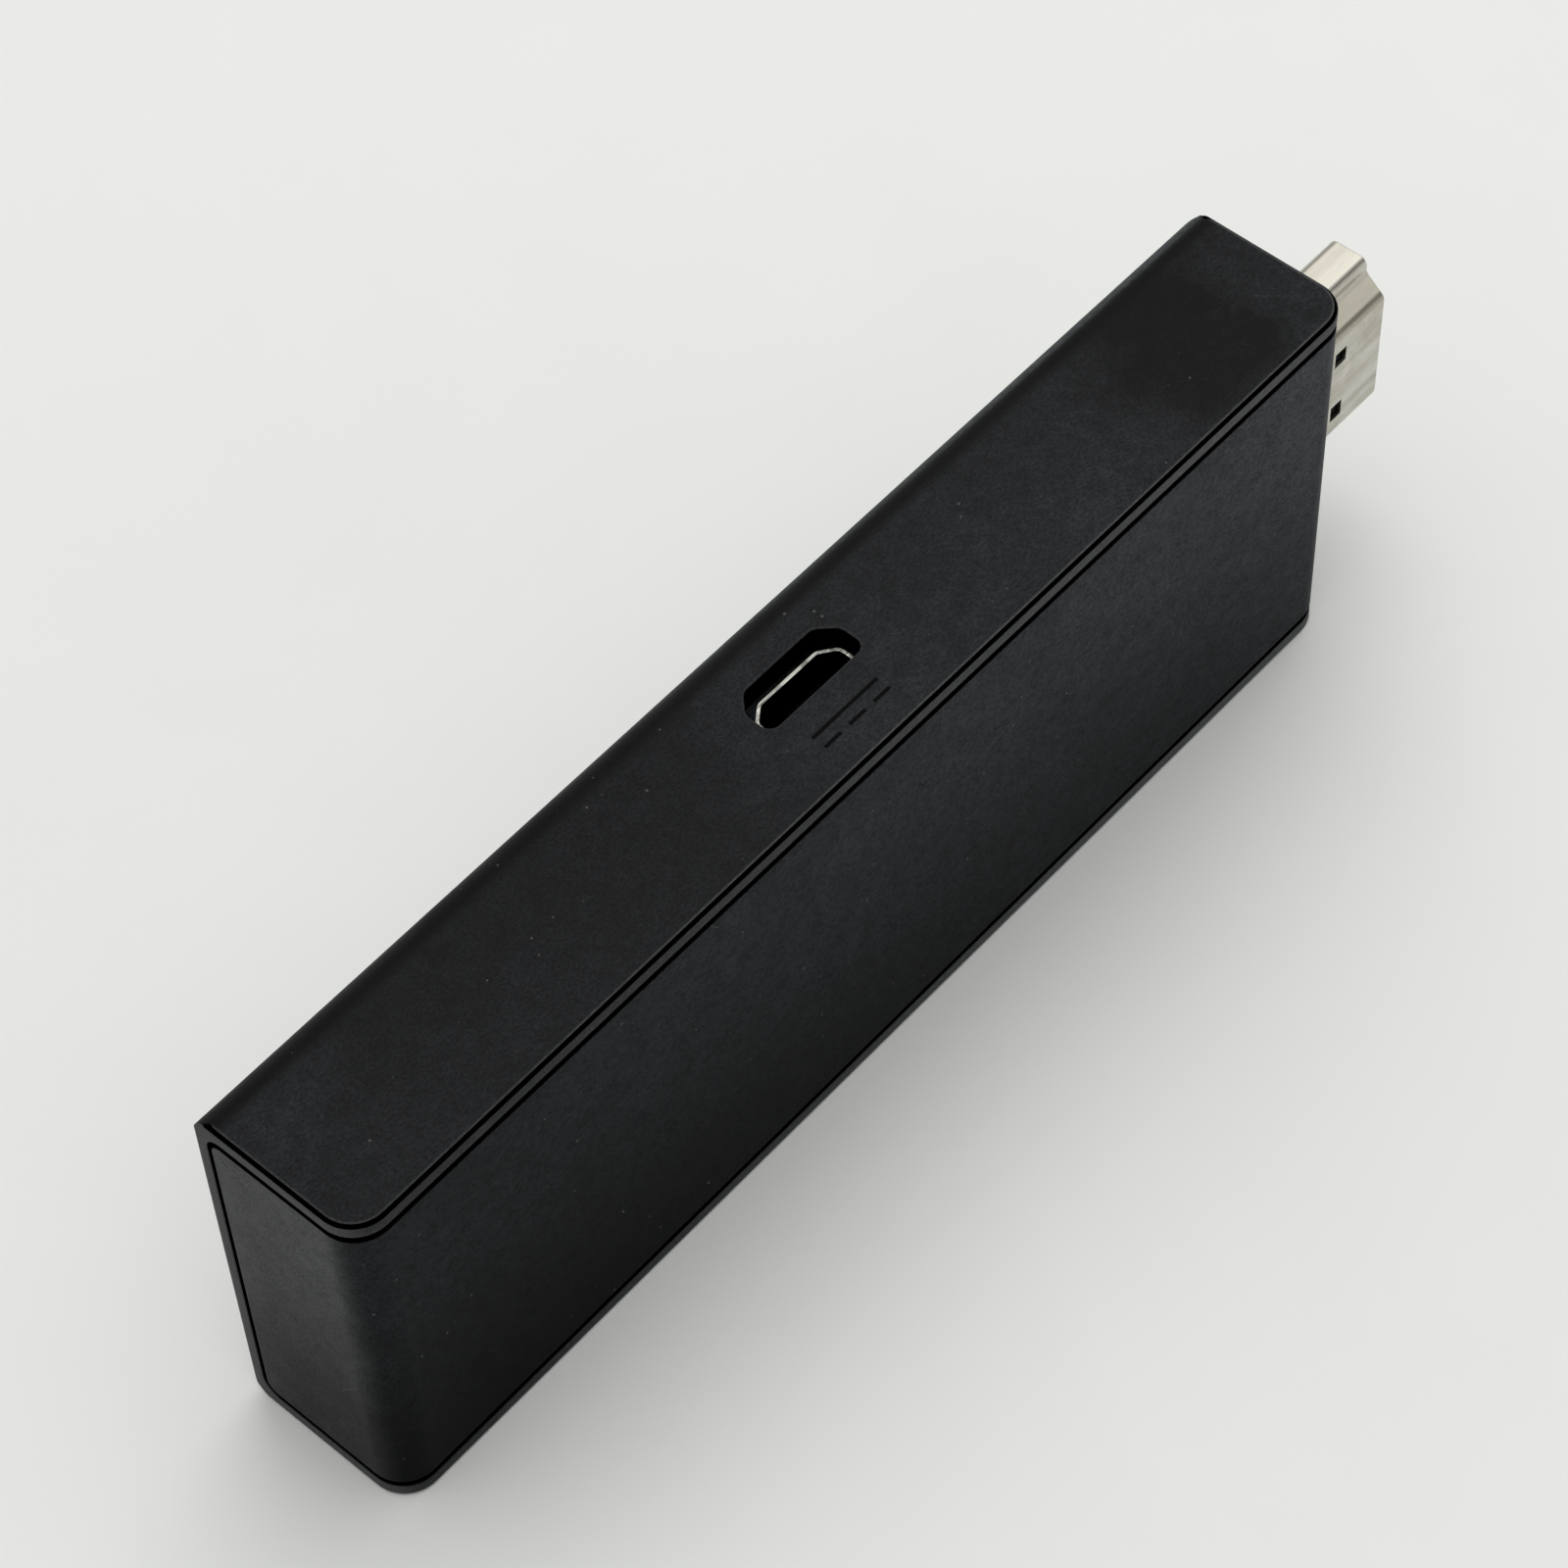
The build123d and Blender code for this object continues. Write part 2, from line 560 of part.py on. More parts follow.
def slot_places(low, high):
    """Places of the skirt's slots along one side of a lid, even about its middle."""
    return even((low + high) / 2, CAN_SLOT_PITCH, int((high - low) / CAN_SLOT_PITCH))


def can_lid(x, z, tall, side=1):
    """A shield's pressed lid: a pan over the fence, its skirt slotted into springs."""
    y = on_board(side, tall)
    top, edge = y[1], y[1] - side * CAN_SKIRT
    lid = block((x[0] - CAN_OUT, x[1] + CAN_OUT), (edge, top), (z[0] - CAN_OUT, z[1] + CAN_OUT))
    lid = fillet(lid.edges().filter_by(Axis.Y), CAN_OUT)
    below = edge - side * PAST
    lid -= block((x[0] - CAN_FIT, x[1] + CAN_FIT), (top - side * CAN_SHEET, below),
                 (z[0] - CAN_FIT, z[1] + CAN_FIT))
    skirt = (top - side * 2 * CAN_SHEET, below)
    for at in slot_places(*x):
        lid -= block(span(at, CAN_SLOT), skirt, past(z))
    for at in slot_places(*z):
        lid -= block(past(x), skirt, span(at, CAN_SLOT))
    return lid


def pad_over(x, z, y):
    """A soft heat pad filling the space between what it cools and what takes the heat."""
    return block((x[0] + PAD_INSET, x[1] - PAD_INSET), y, (z[0] + PAD_INSET, z[1] - PAD_INSET))


def chip_pad(x, z, size, lid, side=1):
    """A heat pad between a chip's top and the lid over it."""
    top = on_board(side, size[2])[1]
    return pad_over(span(x, size[0]), span(z, size[1]), (top, lid - side * CAN_SHEET))


def capacitors():
    """Rows of ceramic capacitors round the processor's power pins and the power chip."""
    across, tall, height = CAPACITOR
    y = on_board(1, height)
    near = CAN_X[0] + CAN_SHEET + CHIP_GAP / 2
    row = [block(span(near, tall), y, span(z, across)) for z in even(CHIP_Z, CAPACITOR_PITCH, CAPACITORS)]
    column = POWER_X - POWER_CHIP[0] / 2 - PART_GAP / 2 - across / 2
    pitch = POWER_CHIP[1] / POWER_CAPACITORS
    row += [block(span(column, across), y, span(z, tall)) for z in even(POWER_Z, pitch, POWER_CAPACITORS)]
    return Compound(row)


def inductors():
    """Shielded coils of the power supply, in a row beside the power chip."""
    across, tall, height = INDUCTOR
    middle = POWER_X + POWER_CHIP[0] / 2 + INDUCTOR_PITCH * INDUCTORS / 2
    coils = [block(span(x, across), on_board(1, height), span(POWER_Z, tall))
             for x in even(middle, INDUCTOR_PITCH, INDUCTORS)]
    return Compound([chamfer(coil.edges().filter_by(Axis.Y), INDUCTOR_BEVEL) for coil in coils])


def crystals():
    """The two quartz crystals, each in a small metal can."""
    across, tall, height = CRYSTAL
    cans = [block(span(x, across), on_board(1, height), span(z, tall)) for x, z in CRYSTAL_AT]
    return Compound([chamfer(can.edges().filter_by(Axis.Y), CRYSTAL_BEVEL) for can in cans])


def filters():
    """Surge and noise filters of the video lines, in a row behind the plug's contacts."""
    across, tall, height = FILTER
    x = X_PLUG_REAR - CONTACT_TAIL - FILTER_GAP - across / 2
    return Compound([block(span(x, across), on_board(1, height), span(z, tall))
                     for z in even(Z_MID, FILTER_PITCH, FILTERS)])


def antenna(low):
    """A stamped antenna: two legs off the board that carry a flat arm along the blank end."""
    foot = BOARD_NEAR + ANTENNA_FROM_EDGE
    leg = foot + ANTENNA_FOOT
    arm = leg - ANTENNA_ARM + ANTENNA_SHEET
    y = BOARD_FRONT
    top = y + ANTENNA_RISE
    sheet = ANTENNA_SHEET
    profile = outline([(foot, y, 0), (leg + sheet, y, sheet), (leg + sheet, top, sheet),
                       (arm, top, 0), (arm, top - sheet, 0), (leg, top - sheet, 0),
                       (leg, y + sheet, 0), (foot, y + sheet, 0)])
    strip = along_z(profile, (low, low + ANTENNA_LONG))
    kept = low + ANTENNA_LEG
    gap = kept + ANTENNA_LEG_GAP
    x = past((foot, leg))
    below = (y - PAST, top - 2 * sheet)
    strip -= block(x, below, (kept, gap))
    strip -= block(x, below, (gap + ANTENNA_LEG, low + ANTENNA_LONG + PAST))
    return strip


# Heat path

def spreader(y):
    """A flat aluminium plate with rounded corners."""
    (x_low, x_high), (z_low, z_high) = SPREADER_X, SPREADER_Z
    plate = RectangleRounded(x_high - x_low, z_high - z_low, SPREADER_R)
    return along_y(Pos((x_low + x_high) / 2, (z_low + z_high) / 2) * plate, y)


def spreader_tape(y):
    """The thin adhesive sheet that holds a spreader on the housing."""
    return pad_over(SPREADER_X, SPREADER_Z, y)


# Places of the chips on the board
CHIP_Z = (CAN_LOW + CAN_HIGH) / 2
PROCESSOR_X = CAN_X[0] + CAN_SHEET + CHIP_GAP + PROCESSOR[0] / 2
MEMORY_X = PROCESSOR_X + PROCESSOR[0] / 2 + 2 * CHIP_GAP + MEMORY[0] / 2
FLASH_X = (REAR_CAN_X[0] + REAR_CAN_X[1]) / 2
RADIO_AT = (RADIO_X[0] + RADIO_X[1]) / 2
RADIO_CHIP_Z = RADIO_Z[0] + CHIP_GAP + RADIO[1] / 2
POWER_X = (SOCKET_AT + SOCKET_WIDE / 2 + SOCKET_TAB_OUT + PART_GAP + CAPACITOR[0] + PART_GAP / 2
           + POWER_CHIP[0] / 2)
POWER_Z = (CAN_HIGH + CAN_OUT + BOARD_HIGH) / 2
CRYSTAL_AT = [(RADIO_AT, RADIO_CHIP_Z + RADIO[1] / 2 + CRYSTAL[1] + CHIP_GAP / 2),
              (CAN_X[1] + CAN_OUT + PART_GAP + CRYSTAL[0] / 2, CHIP_Z)]
FRONT_PLATE = Y_PLATE - TAPE - SPREADER
REAR_PLATE = Y_COVER + TAPE + SPREADER

parts = {
    "front_shell": front_shell(),
    "rear_cover": rear_cover(),
    "plug_shell": plug_shell(),
    "plug_insulator": plug_insulator(),
    "plug_contacts_front": plug_contacts(1),
    "plug_contacts_back": plug_contacts(-1),
    "power_socket_shell": power_socket_shell(),
    "power_socket_insulator": power_socket_insulator(),
    "power_socket_contacts": power_socket_contacts(),
    "main_board": main_board(),
    "processor_chip": chip(PROCESSOR_X, CHIP_Z, PROCESSOR),
    "memory_chip": chip(MEMORY_X, CHIP_Z, MEMORY),
    "flash_chip": chip(FLASH_X, CHIP_Z, FLASH, -1),
    "radio_chip": chip(RADIO_AT, RADIO_CHIP_Z, RADIO),
    "power_chip": chip(POWER_X, POWER_Z, POWER_CHIP),
    "power_inductors": inductors(),
    "board_capacitors": capacitors(),
    "quartz_crystals": crystals(),
    "video_line_filters": filters(),
    "front_can_frame": can_frame(CAN_X, CAN_Z, CAN_TALL, bars=[PROCESSOR_X + PROCESSOR[0] / 2 + CHIP_GAP]),
    "front_can_lid": can_lid(CAN_X, CAN_Z, CAN_TALL),
    "rear_can_frame": can_frame(REAR_CAN_X, CAN_Z, REAR_CAN_TALL, -1,
                                [FLASH_X - FLASH[0] / 2 - CHIP_GAP, FLASH_X + FLASH[0] / 2 + CHIP_GAP]),
    "rear_can_lid": can_lid(REAR_CAN_X, CAN_Z, REAR_CAN_TALL, -1),
    "radio_can_frame": can_frame(RADIO_X, RADIO_Z, CAN_TALL),
    "radio_can_lid": can_lid(RADIO_X, RADIO_Z, CAN_TALL),
    "processor_heat_pad": chip_pad(PROCESSOR_X, CHIP_Z, PROCESSOR, FRONT_LID),
    "memory_heat_pad": chip_pad(MEMORY_X, CHIP_Z, MEMORY, FRONT_LID),
    "flash_heat_pad": chip_pad(FLASH_X, CHIP_Z, FLASH, REAR_LID, -1),
    "radio_heat_pad": chip_pad(RADIO_AT, RADIO_CHIP_Z, RADIO, FRONT_LID),
    "front_lid_heat_pad": pad_over(CAN_X, CAN_Z, (FRONT_LID, FRONT_PLATE)),
    "rear_lid_heat_pad": pad_over(REAR_CAN_X, CAN_Z, (REAR_LID, REAR_PLATE)),
    "front_heat_spreader": spreader((FRONT_PLATE, Y_PLATE - TAPE)),
    "rear_heat_spreader": spreader((Y_COVER + TAPE, REAR_PLATE)),
    "front_spreader_tape": spreader_tape((Y_PLATE - TAPE, Y_PLATE)),
    "rear_spreader_tape": spreader_tape((Y_COVER, Y_COVER + TAPE)),
    "antenna_upper": antenna(Z_MID + ANTENNA_APART / 2),
    "antenna_lower": antenna(Z_MID - ANTENNA_APART / 2 - ANTENNA_LONG),
}

os.makedirs("parts", exist_ok=True)
for name, shape in parts.items():
    export_step(shape, f"parts/{name}.step")
    print(name, round(shape.volume, 2))
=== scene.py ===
import json
import math

import bpy
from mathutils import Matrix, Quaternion, Vector

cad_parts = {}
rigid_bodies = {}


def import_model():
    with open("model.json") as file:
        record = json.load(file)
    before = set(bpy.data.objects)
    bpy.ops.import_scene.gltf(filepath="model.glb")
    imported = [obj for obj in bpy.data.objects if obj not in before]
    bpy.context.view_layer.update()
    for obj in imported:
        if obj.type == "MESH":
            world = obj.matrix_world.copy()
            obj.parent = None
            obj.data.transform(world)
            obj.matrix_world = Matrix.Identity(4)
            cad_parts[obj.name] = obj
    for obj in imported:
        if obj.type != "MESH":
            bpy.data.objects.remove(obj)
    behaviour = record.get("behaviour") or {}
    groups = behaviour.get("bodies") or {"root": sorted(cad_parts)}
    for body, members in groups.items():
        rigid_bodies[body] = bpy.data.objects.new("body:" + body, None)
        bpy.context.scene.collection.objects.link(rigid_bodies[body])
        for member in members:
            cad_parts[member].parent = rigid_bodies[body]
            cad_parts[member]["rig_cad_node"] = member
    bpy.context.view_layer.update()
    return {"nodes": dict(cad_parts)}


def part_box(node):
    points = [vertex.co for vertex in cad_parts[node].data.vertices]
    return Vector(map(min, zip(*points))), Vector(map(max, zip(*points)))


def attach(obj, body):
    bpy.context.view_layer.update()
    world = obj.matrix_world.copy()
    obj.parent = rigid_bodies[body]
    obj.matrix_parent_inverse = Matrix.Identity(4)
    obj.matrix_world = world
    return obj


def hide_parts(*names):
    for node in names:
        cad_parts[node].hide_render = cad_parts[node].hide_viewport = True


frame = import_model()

mm = 0.001

# Front shell
# The tray that makes the front face and both narrow sides, moulded in charcoal plastic with a
# fine spark-eroded grain. A shadow groove runs round its outer corners, and the edge of its wall
# shows as a narrow strip beside the rear cover, which snaps into it.
shell_low, shell_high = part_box("front_shell")
back_corner = 2.4 * mm          # between the back face and each end
side_corner = 2.2 * mm          # along the front face's long edges
blank_corner = 0.6 * mm         # along its short edge at the blank end
plug_corner = 1.5 * mm          # along its short edge beside the plug
rim_depth = 0.17 * mm           # foot of the bevel round the power opening
gap_depth = 0.08 * mm           # below this a face lies inside a gap or a hole
groove_deep = 0.5 * mm
groove_end = shell_high.y - side_corner         # it runs out on the front rounding
shell_edge = 0.06 * mm          # radius that the mould leaves on an edge
same_point = 0.001 * mm         # corners nearer than this are one
same_face = math.radians(0.5)   # facets that turn less than this are one face
sharp_from = math.radians(30)
smooth_to = math.radians(35)


def own_copy(node, name):
    """A copy of a CAD piece with a mesh of its own, its loose triangles merged into flat faces."""
    bpy.ops.object.select_all(action="DESELECT")
    frame["nodes"][node].select_set(True)
    bpy.context.view_layer.objects.active = frame["nodes"][node]
    bpy.ops.object.duplicate()
    piece = bpy.context.active_object
    del piece["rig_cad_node"]
    piece.name = name
    piece.data.name = name
    bpy.ops.mesh.customdata_custom_splitnormals_clear()
    bpy.ops.object.mode_set(mode="EDIT")
    bpy.ops.mesh.select_all(action="SELECT")
    bpy.ops.mesh.remove_doubles(threshold=same_point)
    bpy.ops.mesh.dissolve_limited(angle_limit=same_face)
    bpy.ops.object.mode_set(mode="OBJECT")
    return piece


def soften(piece, wanted, width, rings):
    """Rounds the sharp edges whose middle is wanted, as a mould or a tumbler leaves them."""
    mesh = piece.data
    bpy.ops.object.mode_set(mode="EDIT")
    bpy.ops.mesh.select_mode(type="EDGE")
    bpy.ops.mesh.select_all(action="DESELECT")
    bpy.ops.mesh.edges_select_sharp(sharpness=sharp_from)
    bpy.ops.object.mode_set(mode="OBJECT")
    chosen = []
    for edge in mesh.edges:
        start, end = (mesh.vertices[v].co for v in edge.vertices)
        chosen.append(edge.select and wanted((start + end) / 2))
    for part in (mesh.vertices, mesh.polygons):
        part.foreach_set("select", [False] * len(part))
    mesh.edges.foreach_set("select", chosen)
    bpy.ops.object.mode_set(mode="EDIT")
    bpy.ops.mesh.bevel(offset=width, segments=rings, profile=0.5, affect="EDGES", clamp_overlap=False)
    bpy.ops.object.mode_set(mode="OBJECT")


def even_shading(piece):
    """Smooth bends beside flat faces that stay flat."""
    bpy.ops.object.shade_smooth_by_angle(angle=smooth_to)
    weighted = piece.modifiers.new("weighted", "WEIGHTED_NORMAL")
    weighted.keep_sharp = True
    bpy.ops.object.modifier_apply(modifier=weighted.name)


def below_corner(first, second, radius):
    """How deep a point lies below two faces that meet in a rounded corner."""
    if first < radius and second < radius:
        return radius - math.hypot(radius - first, radius - second)
    return min(first, second)


def wall_depth(point):
    """How deep a point lies below the back face, the ends and the front face."""
    blank, plug = point.x - shell_low.x, shell_high.x - point.x
    back, front = point.y - shell_low.y, shell_high.y - point.y
    return min(below_corner(blank, back, back_corner), below_corner(plug, back, back_corner),
               below_corner(blank, front, blank_corner), below_corner(plug, front, plug_corner))


def side_depth(point):
    """How deep it lies below the nearer narrow side, which rounds into the front face."""
    side = min(point.z - shell_low.z, shell_high.z - point.z)
    return below_corner(side, shell_high.y - point.y, side_corner)


def shell_shows(point):
    """True on the outer skin and round the power opening."""
    return min(wall_depth(point), side_depth(point)) < rim_depth


def in_shell_gap(point):
    """True inside the groove, the seam and the power opening, and behind the walls."""
    run_out = point.y > groove_end and side_depth(point) < groove_deep
    return min(wall_depth(point), side_depth(point)) > gap_depth and not run_out


shell = own_copy("front_shell", "front_shell_moulding")
soften(shell, shell_shows, width=shell_edge, rings=6)
even_shading(shell)


def put(tree, kind, sockets=(), **settings):
    """A shader node with its settings, its inputs set to values or joined to other nodes."""
    made = tree.nodes.new("ShaderNode" + kind)
    for setting, value in settings.items():
        setattr(made, setting, value)
    for socket, value in dict(sockets).items():
        if isinstance(value, bpy.types.NodeSocket):
            tree.links.new(value, made.inputs[socket])
        else:
            made.inputs[socket].default_value = value
    return made


def calc(tree, operation, *values, clamp=False):
    """The result of a maths node on up to three values or sockets."""
    return put(tree, "Math", enumerate(values), operation=operation, use_clamp=clamp).outputs[0]


def times(tree, first, *others):
    """Several values multiplied."""
    for other in others:
        first = calc(tree, "MULTIPLY", first, other)
    return first


def plus(tree, first, *others):
    """Several values added."""
    for other in others:
        first = calc(tree, "ADD", first, other)
    return first


def vary(tree, mask, swing):
    """A factor that a mask carries from half a swing below 1 to half a swing above."""
    return calc(tree, "MULTIPLY_ADD", mask, swing, 1 - swing / 2)


def less(tree, mask, share):
    """A factor that falls from 1 by a share where the mask is 1."""
    return calc(tree, "MULTIPLY_ADD", mask, -share, 1)


def vector(tree, operation, first, second, result="Vector"):
    """The result of a vector maths node on two vectors."""
    return put(tree, "VectorMath", {0: first, 1: second}, operation=operation).outputs[result]


def scaled_by(tree, way, factor):
    """A vector made longer or shorter."""
    return put(tree, "VectorMath", {0: way, "Scale": factor}, operation="SCALE").outputs[0]


def parts_of(tree, way):
    """The X, Y and Z of a vector."""
    return put(tree, "SeparateXYZ", {0: way}).outputs


def ramp(tree, value, start, full, at_start=0.0, at_full=1.0):
    """A smooth change as a value goes from where it starts to where it is full."""
    sockets = {"Value": value, "From Min": start, "From Max": full, "To Min": at_start, "To Max": at_full}
    return put(tree, "MapRange", sockets, interpolation_type="SMOOTHSTEP").outputs[0]


def between(tree, value, rise, fall):
    """1 between a rise and a fall, 0 outside them, each with its start and where it is full."""
    return times(tree, ramp(tree, value, *rise), ramp(tree, value, *fall))


def lay(tree, under, over, mask, share=1.0):
    """One colour laid over another where the mask is 1, by a share."""
    return put(tree, "Mix", {0: times(tree, mask, share), 6: under, 7: over}, data_type="RGBA").outputs[2]


def switch(tree, mask, under, over):
    """One value in the place of another where the mask is 1."""
    return put(tree, "Mix", {0: mask, 2: under, 3: over}).outputs[0]


def bumps(tree, height, strength, depth):
    """The normals of a surface that a height raises."""
    return put(tree, "Bump", {"Strength": strength, "Distance": depth, "Height": height}).outputs[0]


def place(tree):
    """Where a point of the surface is on the object."""
    return put(tree, "TexCoord").outputs["Object"]


def per(tree, size):
    """The scale that gives a pattern a size."""
    return calc(tree, "DIVIDE", 1, size)


def new_group(name, inputs, outputs):
    """A shader group with its named sockets, its input sockets and its output node."""
    tree = bpy.data.node_groups.new(name, "ShaderNodeTree")
    for socket, kind, start in inputs:
        made = tree.interface.new_socket(socket, in_out="INPUT", socket_type="NodeSocket" + kind)
        made.default_value = start
    for socket in outputs:
        tree.interface.new_socket(socket, in_out="OUTPUT", socket_type="NodeSocketFloat")
    return tree, tree.nodes.new("NodeGroupInput").outputs, tree.nodes.new("NodeGroupOutput")


def use(tree, group, **sockets):
    """The outputs of a group placed in a material with that material's own values."""
    made = put(tree, "Group", node_tree=group)
    for socket, value in sockets.items():
        made.inputs[socket.replace("_", " ")].default_value = value
    return made.outputs


def finish_of(name, **constants):
    """A material, its node tree and its shader, with the values that are the same all over."""
    material = bpy.data.materials.new(name)
    material.use_nodes = True
    shader = material.node_tree.nodes["Principled BSDF"]
    for socket, value in constants.items():
        shader.inputs[socket.replace("_", " ")].default_value = value
    return material, material.node_tree, shader


def drive(tree, shader, **sockets):
    """Joins nodes to the shader's inputs."""
    for socket, value in sockets.items():
        tree.links.new(value, shader.inputs[socket.replace("_", " ")])


# The grain that spark erosion leaves in a mould, as a height, as a faint change of tone and as a
# fine speckle drawn out along the length.
pit_share = 0.7                 # of the pits in the height, beside the finer noise
drawn_out = (0.65, 1, 1)        # the speckle's scale along X, Y and Z
mould_grain, given, out = new_group("mould_grain", [("Size", "Float", 0.12 * mm)],
                                    ["Height", "Tone", "Speckle"])
sized = scaled_by(mould_grain, place(mould_grain), per(mould_grain, given["Size"]))
pits = put(mould_grain, "TexVoronoi", {"Vector": sized, "Scale": 1.0, "Randomness": 1.0},
           feature="SMOOTH_F1")
fine = put(mould_grain, "TexNoise", {"Vector": sized, "Scale": 2.3, "Detail": 3.0, "Roughness": 0.6})
coarse = put(mould_grain, "TexNoise", {"Vector": sized, "Scale": 0.32, "Detail": 2.0, "Roughness": 0.5})
speckle = put(mould_grain, "TexNoise", {"Vector": vector(mould_grain, "MULTIPLY", sized, drawn_out),
                                        "Scale": 0.75, "Detail": 3.0, "Roughness": 0.75})
raised = calc(mould_grain, "MULTIPLY_ADD", pits.outputs["Distance"], pit_share, fine.outputs[0])
mould_grain.links.new(raised, out.inputs["Height"])
mould_grain.links.new(ramp(mould_grain, coarse.outputs[0], start=0.35, full=0.65), out.inputs["Tone"])
mould_grain.links.new(ramp(mould_grain, speckle.outputs[0], start=0.3, full=0.7), out.inputs["Speckle"])

# Loose specks of dust, each in its own cell of space. Some cells are empty, and the specks differ
# in size and in how much they show.
steepness = 2                   # the inner half of a speck is full
faintest = 0.25
specks, given, out = new_group("specks", [("Spacing", "Float", 1.2 * mm), ("Radius", "Float", 0.05 * mm),
                                          ("Share", "Float", 0.5)], ["Mask"])
cells = put(specks, "TexVoronoi", {"Vector": place(specks), "Scale": per(specks, given["Spacing"])})
luck = put(specks, "SeparateColor", {"Color": cells.outputs["Color"]}).outputs
reach = calc(specks, "DIVIDE", times(specks, given["Radius"], luck["Green"]), given["Spacing"])
nearness = calc(specks, "SUBTRACT", 1, calc(specks, "DIVIDE", cells.outputs["Distance"], reach), clamp=True)
inside = calc(specks, "MULTIPLY", nearness, steepness, clamp=True)
kept = calc(specks, "LESS_THAN", luck["Red"], given["Share"])
shown = calc(specks, "MULTIPLY_ADD", luck["Blue"], 1 - faintest, faintest)
specks.links.new(times(specks, inside, kept, shown), out.inputs["Mask"])

# Soft cloudy marks from handling.
smudges, given, out = new_group("smudges", [("Size", "Float", 8 * mm), ("Low", "Float", 0.45),
                                            ("High", "Float", 0.7)], ["Mask"])
cloud = put(smudges, "TexNoise", {"Vector": place(smudges), "Scale": per(smudges, given["Size"]),
                                  "Detail": 5.0, "Roughness": 0.62, "Distortion": 0.6})
smudges.links.new(ramp(smudges, cloud.outputs[0], given["Low"], given["High"]), out.inputs["Mask"])

# Rubbed edges of a box-like piece: near two of its six outer planes at once.
edge_wear, given, out = new_group("edge_wear", [("Low", "Vector", (0, 0, 0)), ("High", "Vector", (0, 0, 0)),
                                                ("Width", "Float", 0.3 * mm),
                                                ("Break up", "Float", 1.5 * mm)], ["Mask"])
at = place(edge_wear)
to_low = vector(edge_wear, "SUBTRACT", at, given["Low"])
to_high = vector(edge_wear, "SUBTRACT", given["High"], at)
x, y, z = parts_of(edge_wear, vector(edge_wear, "MINIMUM", to_low, to_high))
second = calc(edge_wear, "MAXIMUM", calc(edge_wear, "MINIMUM", x, y),
              calc(edge_wear, "MINIMUM", calc(edge_wear, "MAXIMUM", x, y), z))
rub = calc(edge_wear, "SUBTRACT", 1, calc(edge_wear, "DIVIDE", second, given["Width"]), clamp=True)
patch = put(edge_wear, "TexNoise", {"Vector": at, "Scale": per(edge_wear, given["Break up"]),
                                    "Detail": 4.0, "Roughness": 0.7}).outputs[0]
edge_wear.links.new(times(edge_wear, rub, ramp(edge_wear, patch, start=0.42, full=0.68)), out.inputs["Mask"])

# How deep a point lies below the ends and the back face, whose corners are rounded, and below the
# nearer narrow side.
skin_depth, given, out = new_group("skin_depth", [("Low", "Vector", (0, 0, 0)), ("High", "Vector", (0, 0, 0)),
                                                  ("Corner", "Float", 2 * mm)], ["Walls", "Side"])
from_low = parts_of(skin_depth, vector(skin_depth, "SUBTRACT", place(skin_depth), given["Low"]))
from_high = parts_of(skin_depth, vector(skin_depth, "SUBTRACT", given["High"], place(skin_depth)))
to_end = calc(skin_depth, "MINIMUM", from_low["X"], from_high["X"])
short_x = calc(skin_depth, "MAXIMUM", calc(skin_depth, "SUBTRACT", given["Corner"], to_end), 0)
short_y = calc(skin_depth, "MAXIMUM", calc(skin_depth, "SUBTRACT", given["Corner"], from_low["Y"]), 0)
across_corner = calc(skin_depth, "SQRT", calc(skin_depth, "MULTIPLY_ADD", short_x, short_x,
                                              times(skin_depth, short_y, short_y)))
skin_depth.links.new(calc(skin_depth, "SUBTRACT", given["Corner"], across_corner), out.inputs["Walls"])
skin_depth.links.new(calc(skin_depth, "MINIMUM", from_low["Z"], from_high["Z"]), out.inputs["Side"])

shell_colour = (0.0033, 0.0035, 0.0038, 1)
shell_film = (0.144, 0.151, 0.168, 1)
shell_rub_and_highlight = (0.070, 0.071, 0.074, 1)
dust_colour = (0.150, 0.150, 0.142, 1)
charcoal, tree, shader = finish_of("charcoal_plastic", Specular_IOR_Level=0.06)
grain = use(tree, mould_grain, Size=0.13 * mm)
dust = use(tree, specks, Spacing=0.6 * mm, Radius=0.11 * mm, Share=0.2)["Mask"]
cloudy = use(tree, smudges, Size=7 * mm, Low=0.38, High=0.68)["Mask"]
mottled = use(tree, smudges, Size=1.1 * mm, Low=0.3, High=0.7)["Mask"]
ragged = use(tree, smudges, Size=3.5 * mm, Low=0.3, High=0.7)["Mask"]
chipped = use(tree, smudges, Size=0.5 * mm, Low=0.66, High=0.7)["Mask"]
rubbed = use(tree, edge_wear, Low=shell_low, High=shell_high, Width=0.35 * mm, Break_up=0.9 * mm)["Mask"]
depth = use(tree, skin_depth, Low=shell_low, High=shell_high, Corner=back_corner)
at = parts_of(tree, place(tree))
along, across = at["X"], at["Y"]

# Hands leave a grey film, thicker towards the plug and at the blank end, which fingers hold. A
# thumb has wiped a patch of it, and it stops at the rounding to the front face. Each change has
# the place where it starts, the place where it is full and, if they aren't 0 and 1, its values there.
ragged_by = 3.5 * mm            # how far the limits of film and patch wander
film_along = (-14 * mm, -1 * mm, 0.050, 0.096)
film_blank = (-31 * mm, -40 * mm, 0, 0.006)
film_back = (4 * mm, -5 * mm, 0.83, 1.12)
film_plug = (29 * mm, 36 * mm, 1, 0.85)
film_stop = (4.6 * mm, 3.6 * mm, 0.05, 1)
held_along = (-38 * mm, -43 * mm, 0, 0.035)
held_across = (-3 * mm, 2 * mm, 0.2, 1)
wiped_rise = (22.5 * mm, 28.5 * mm)
wiped_fall = (38 * mm, 34 * mm)
wiped_across = (-6.2 * mm, -4.5 * mm, 0.5, 1)
wandering = calc(tree, "MULTIPLY_ADD", ragged, ragged_by, along)
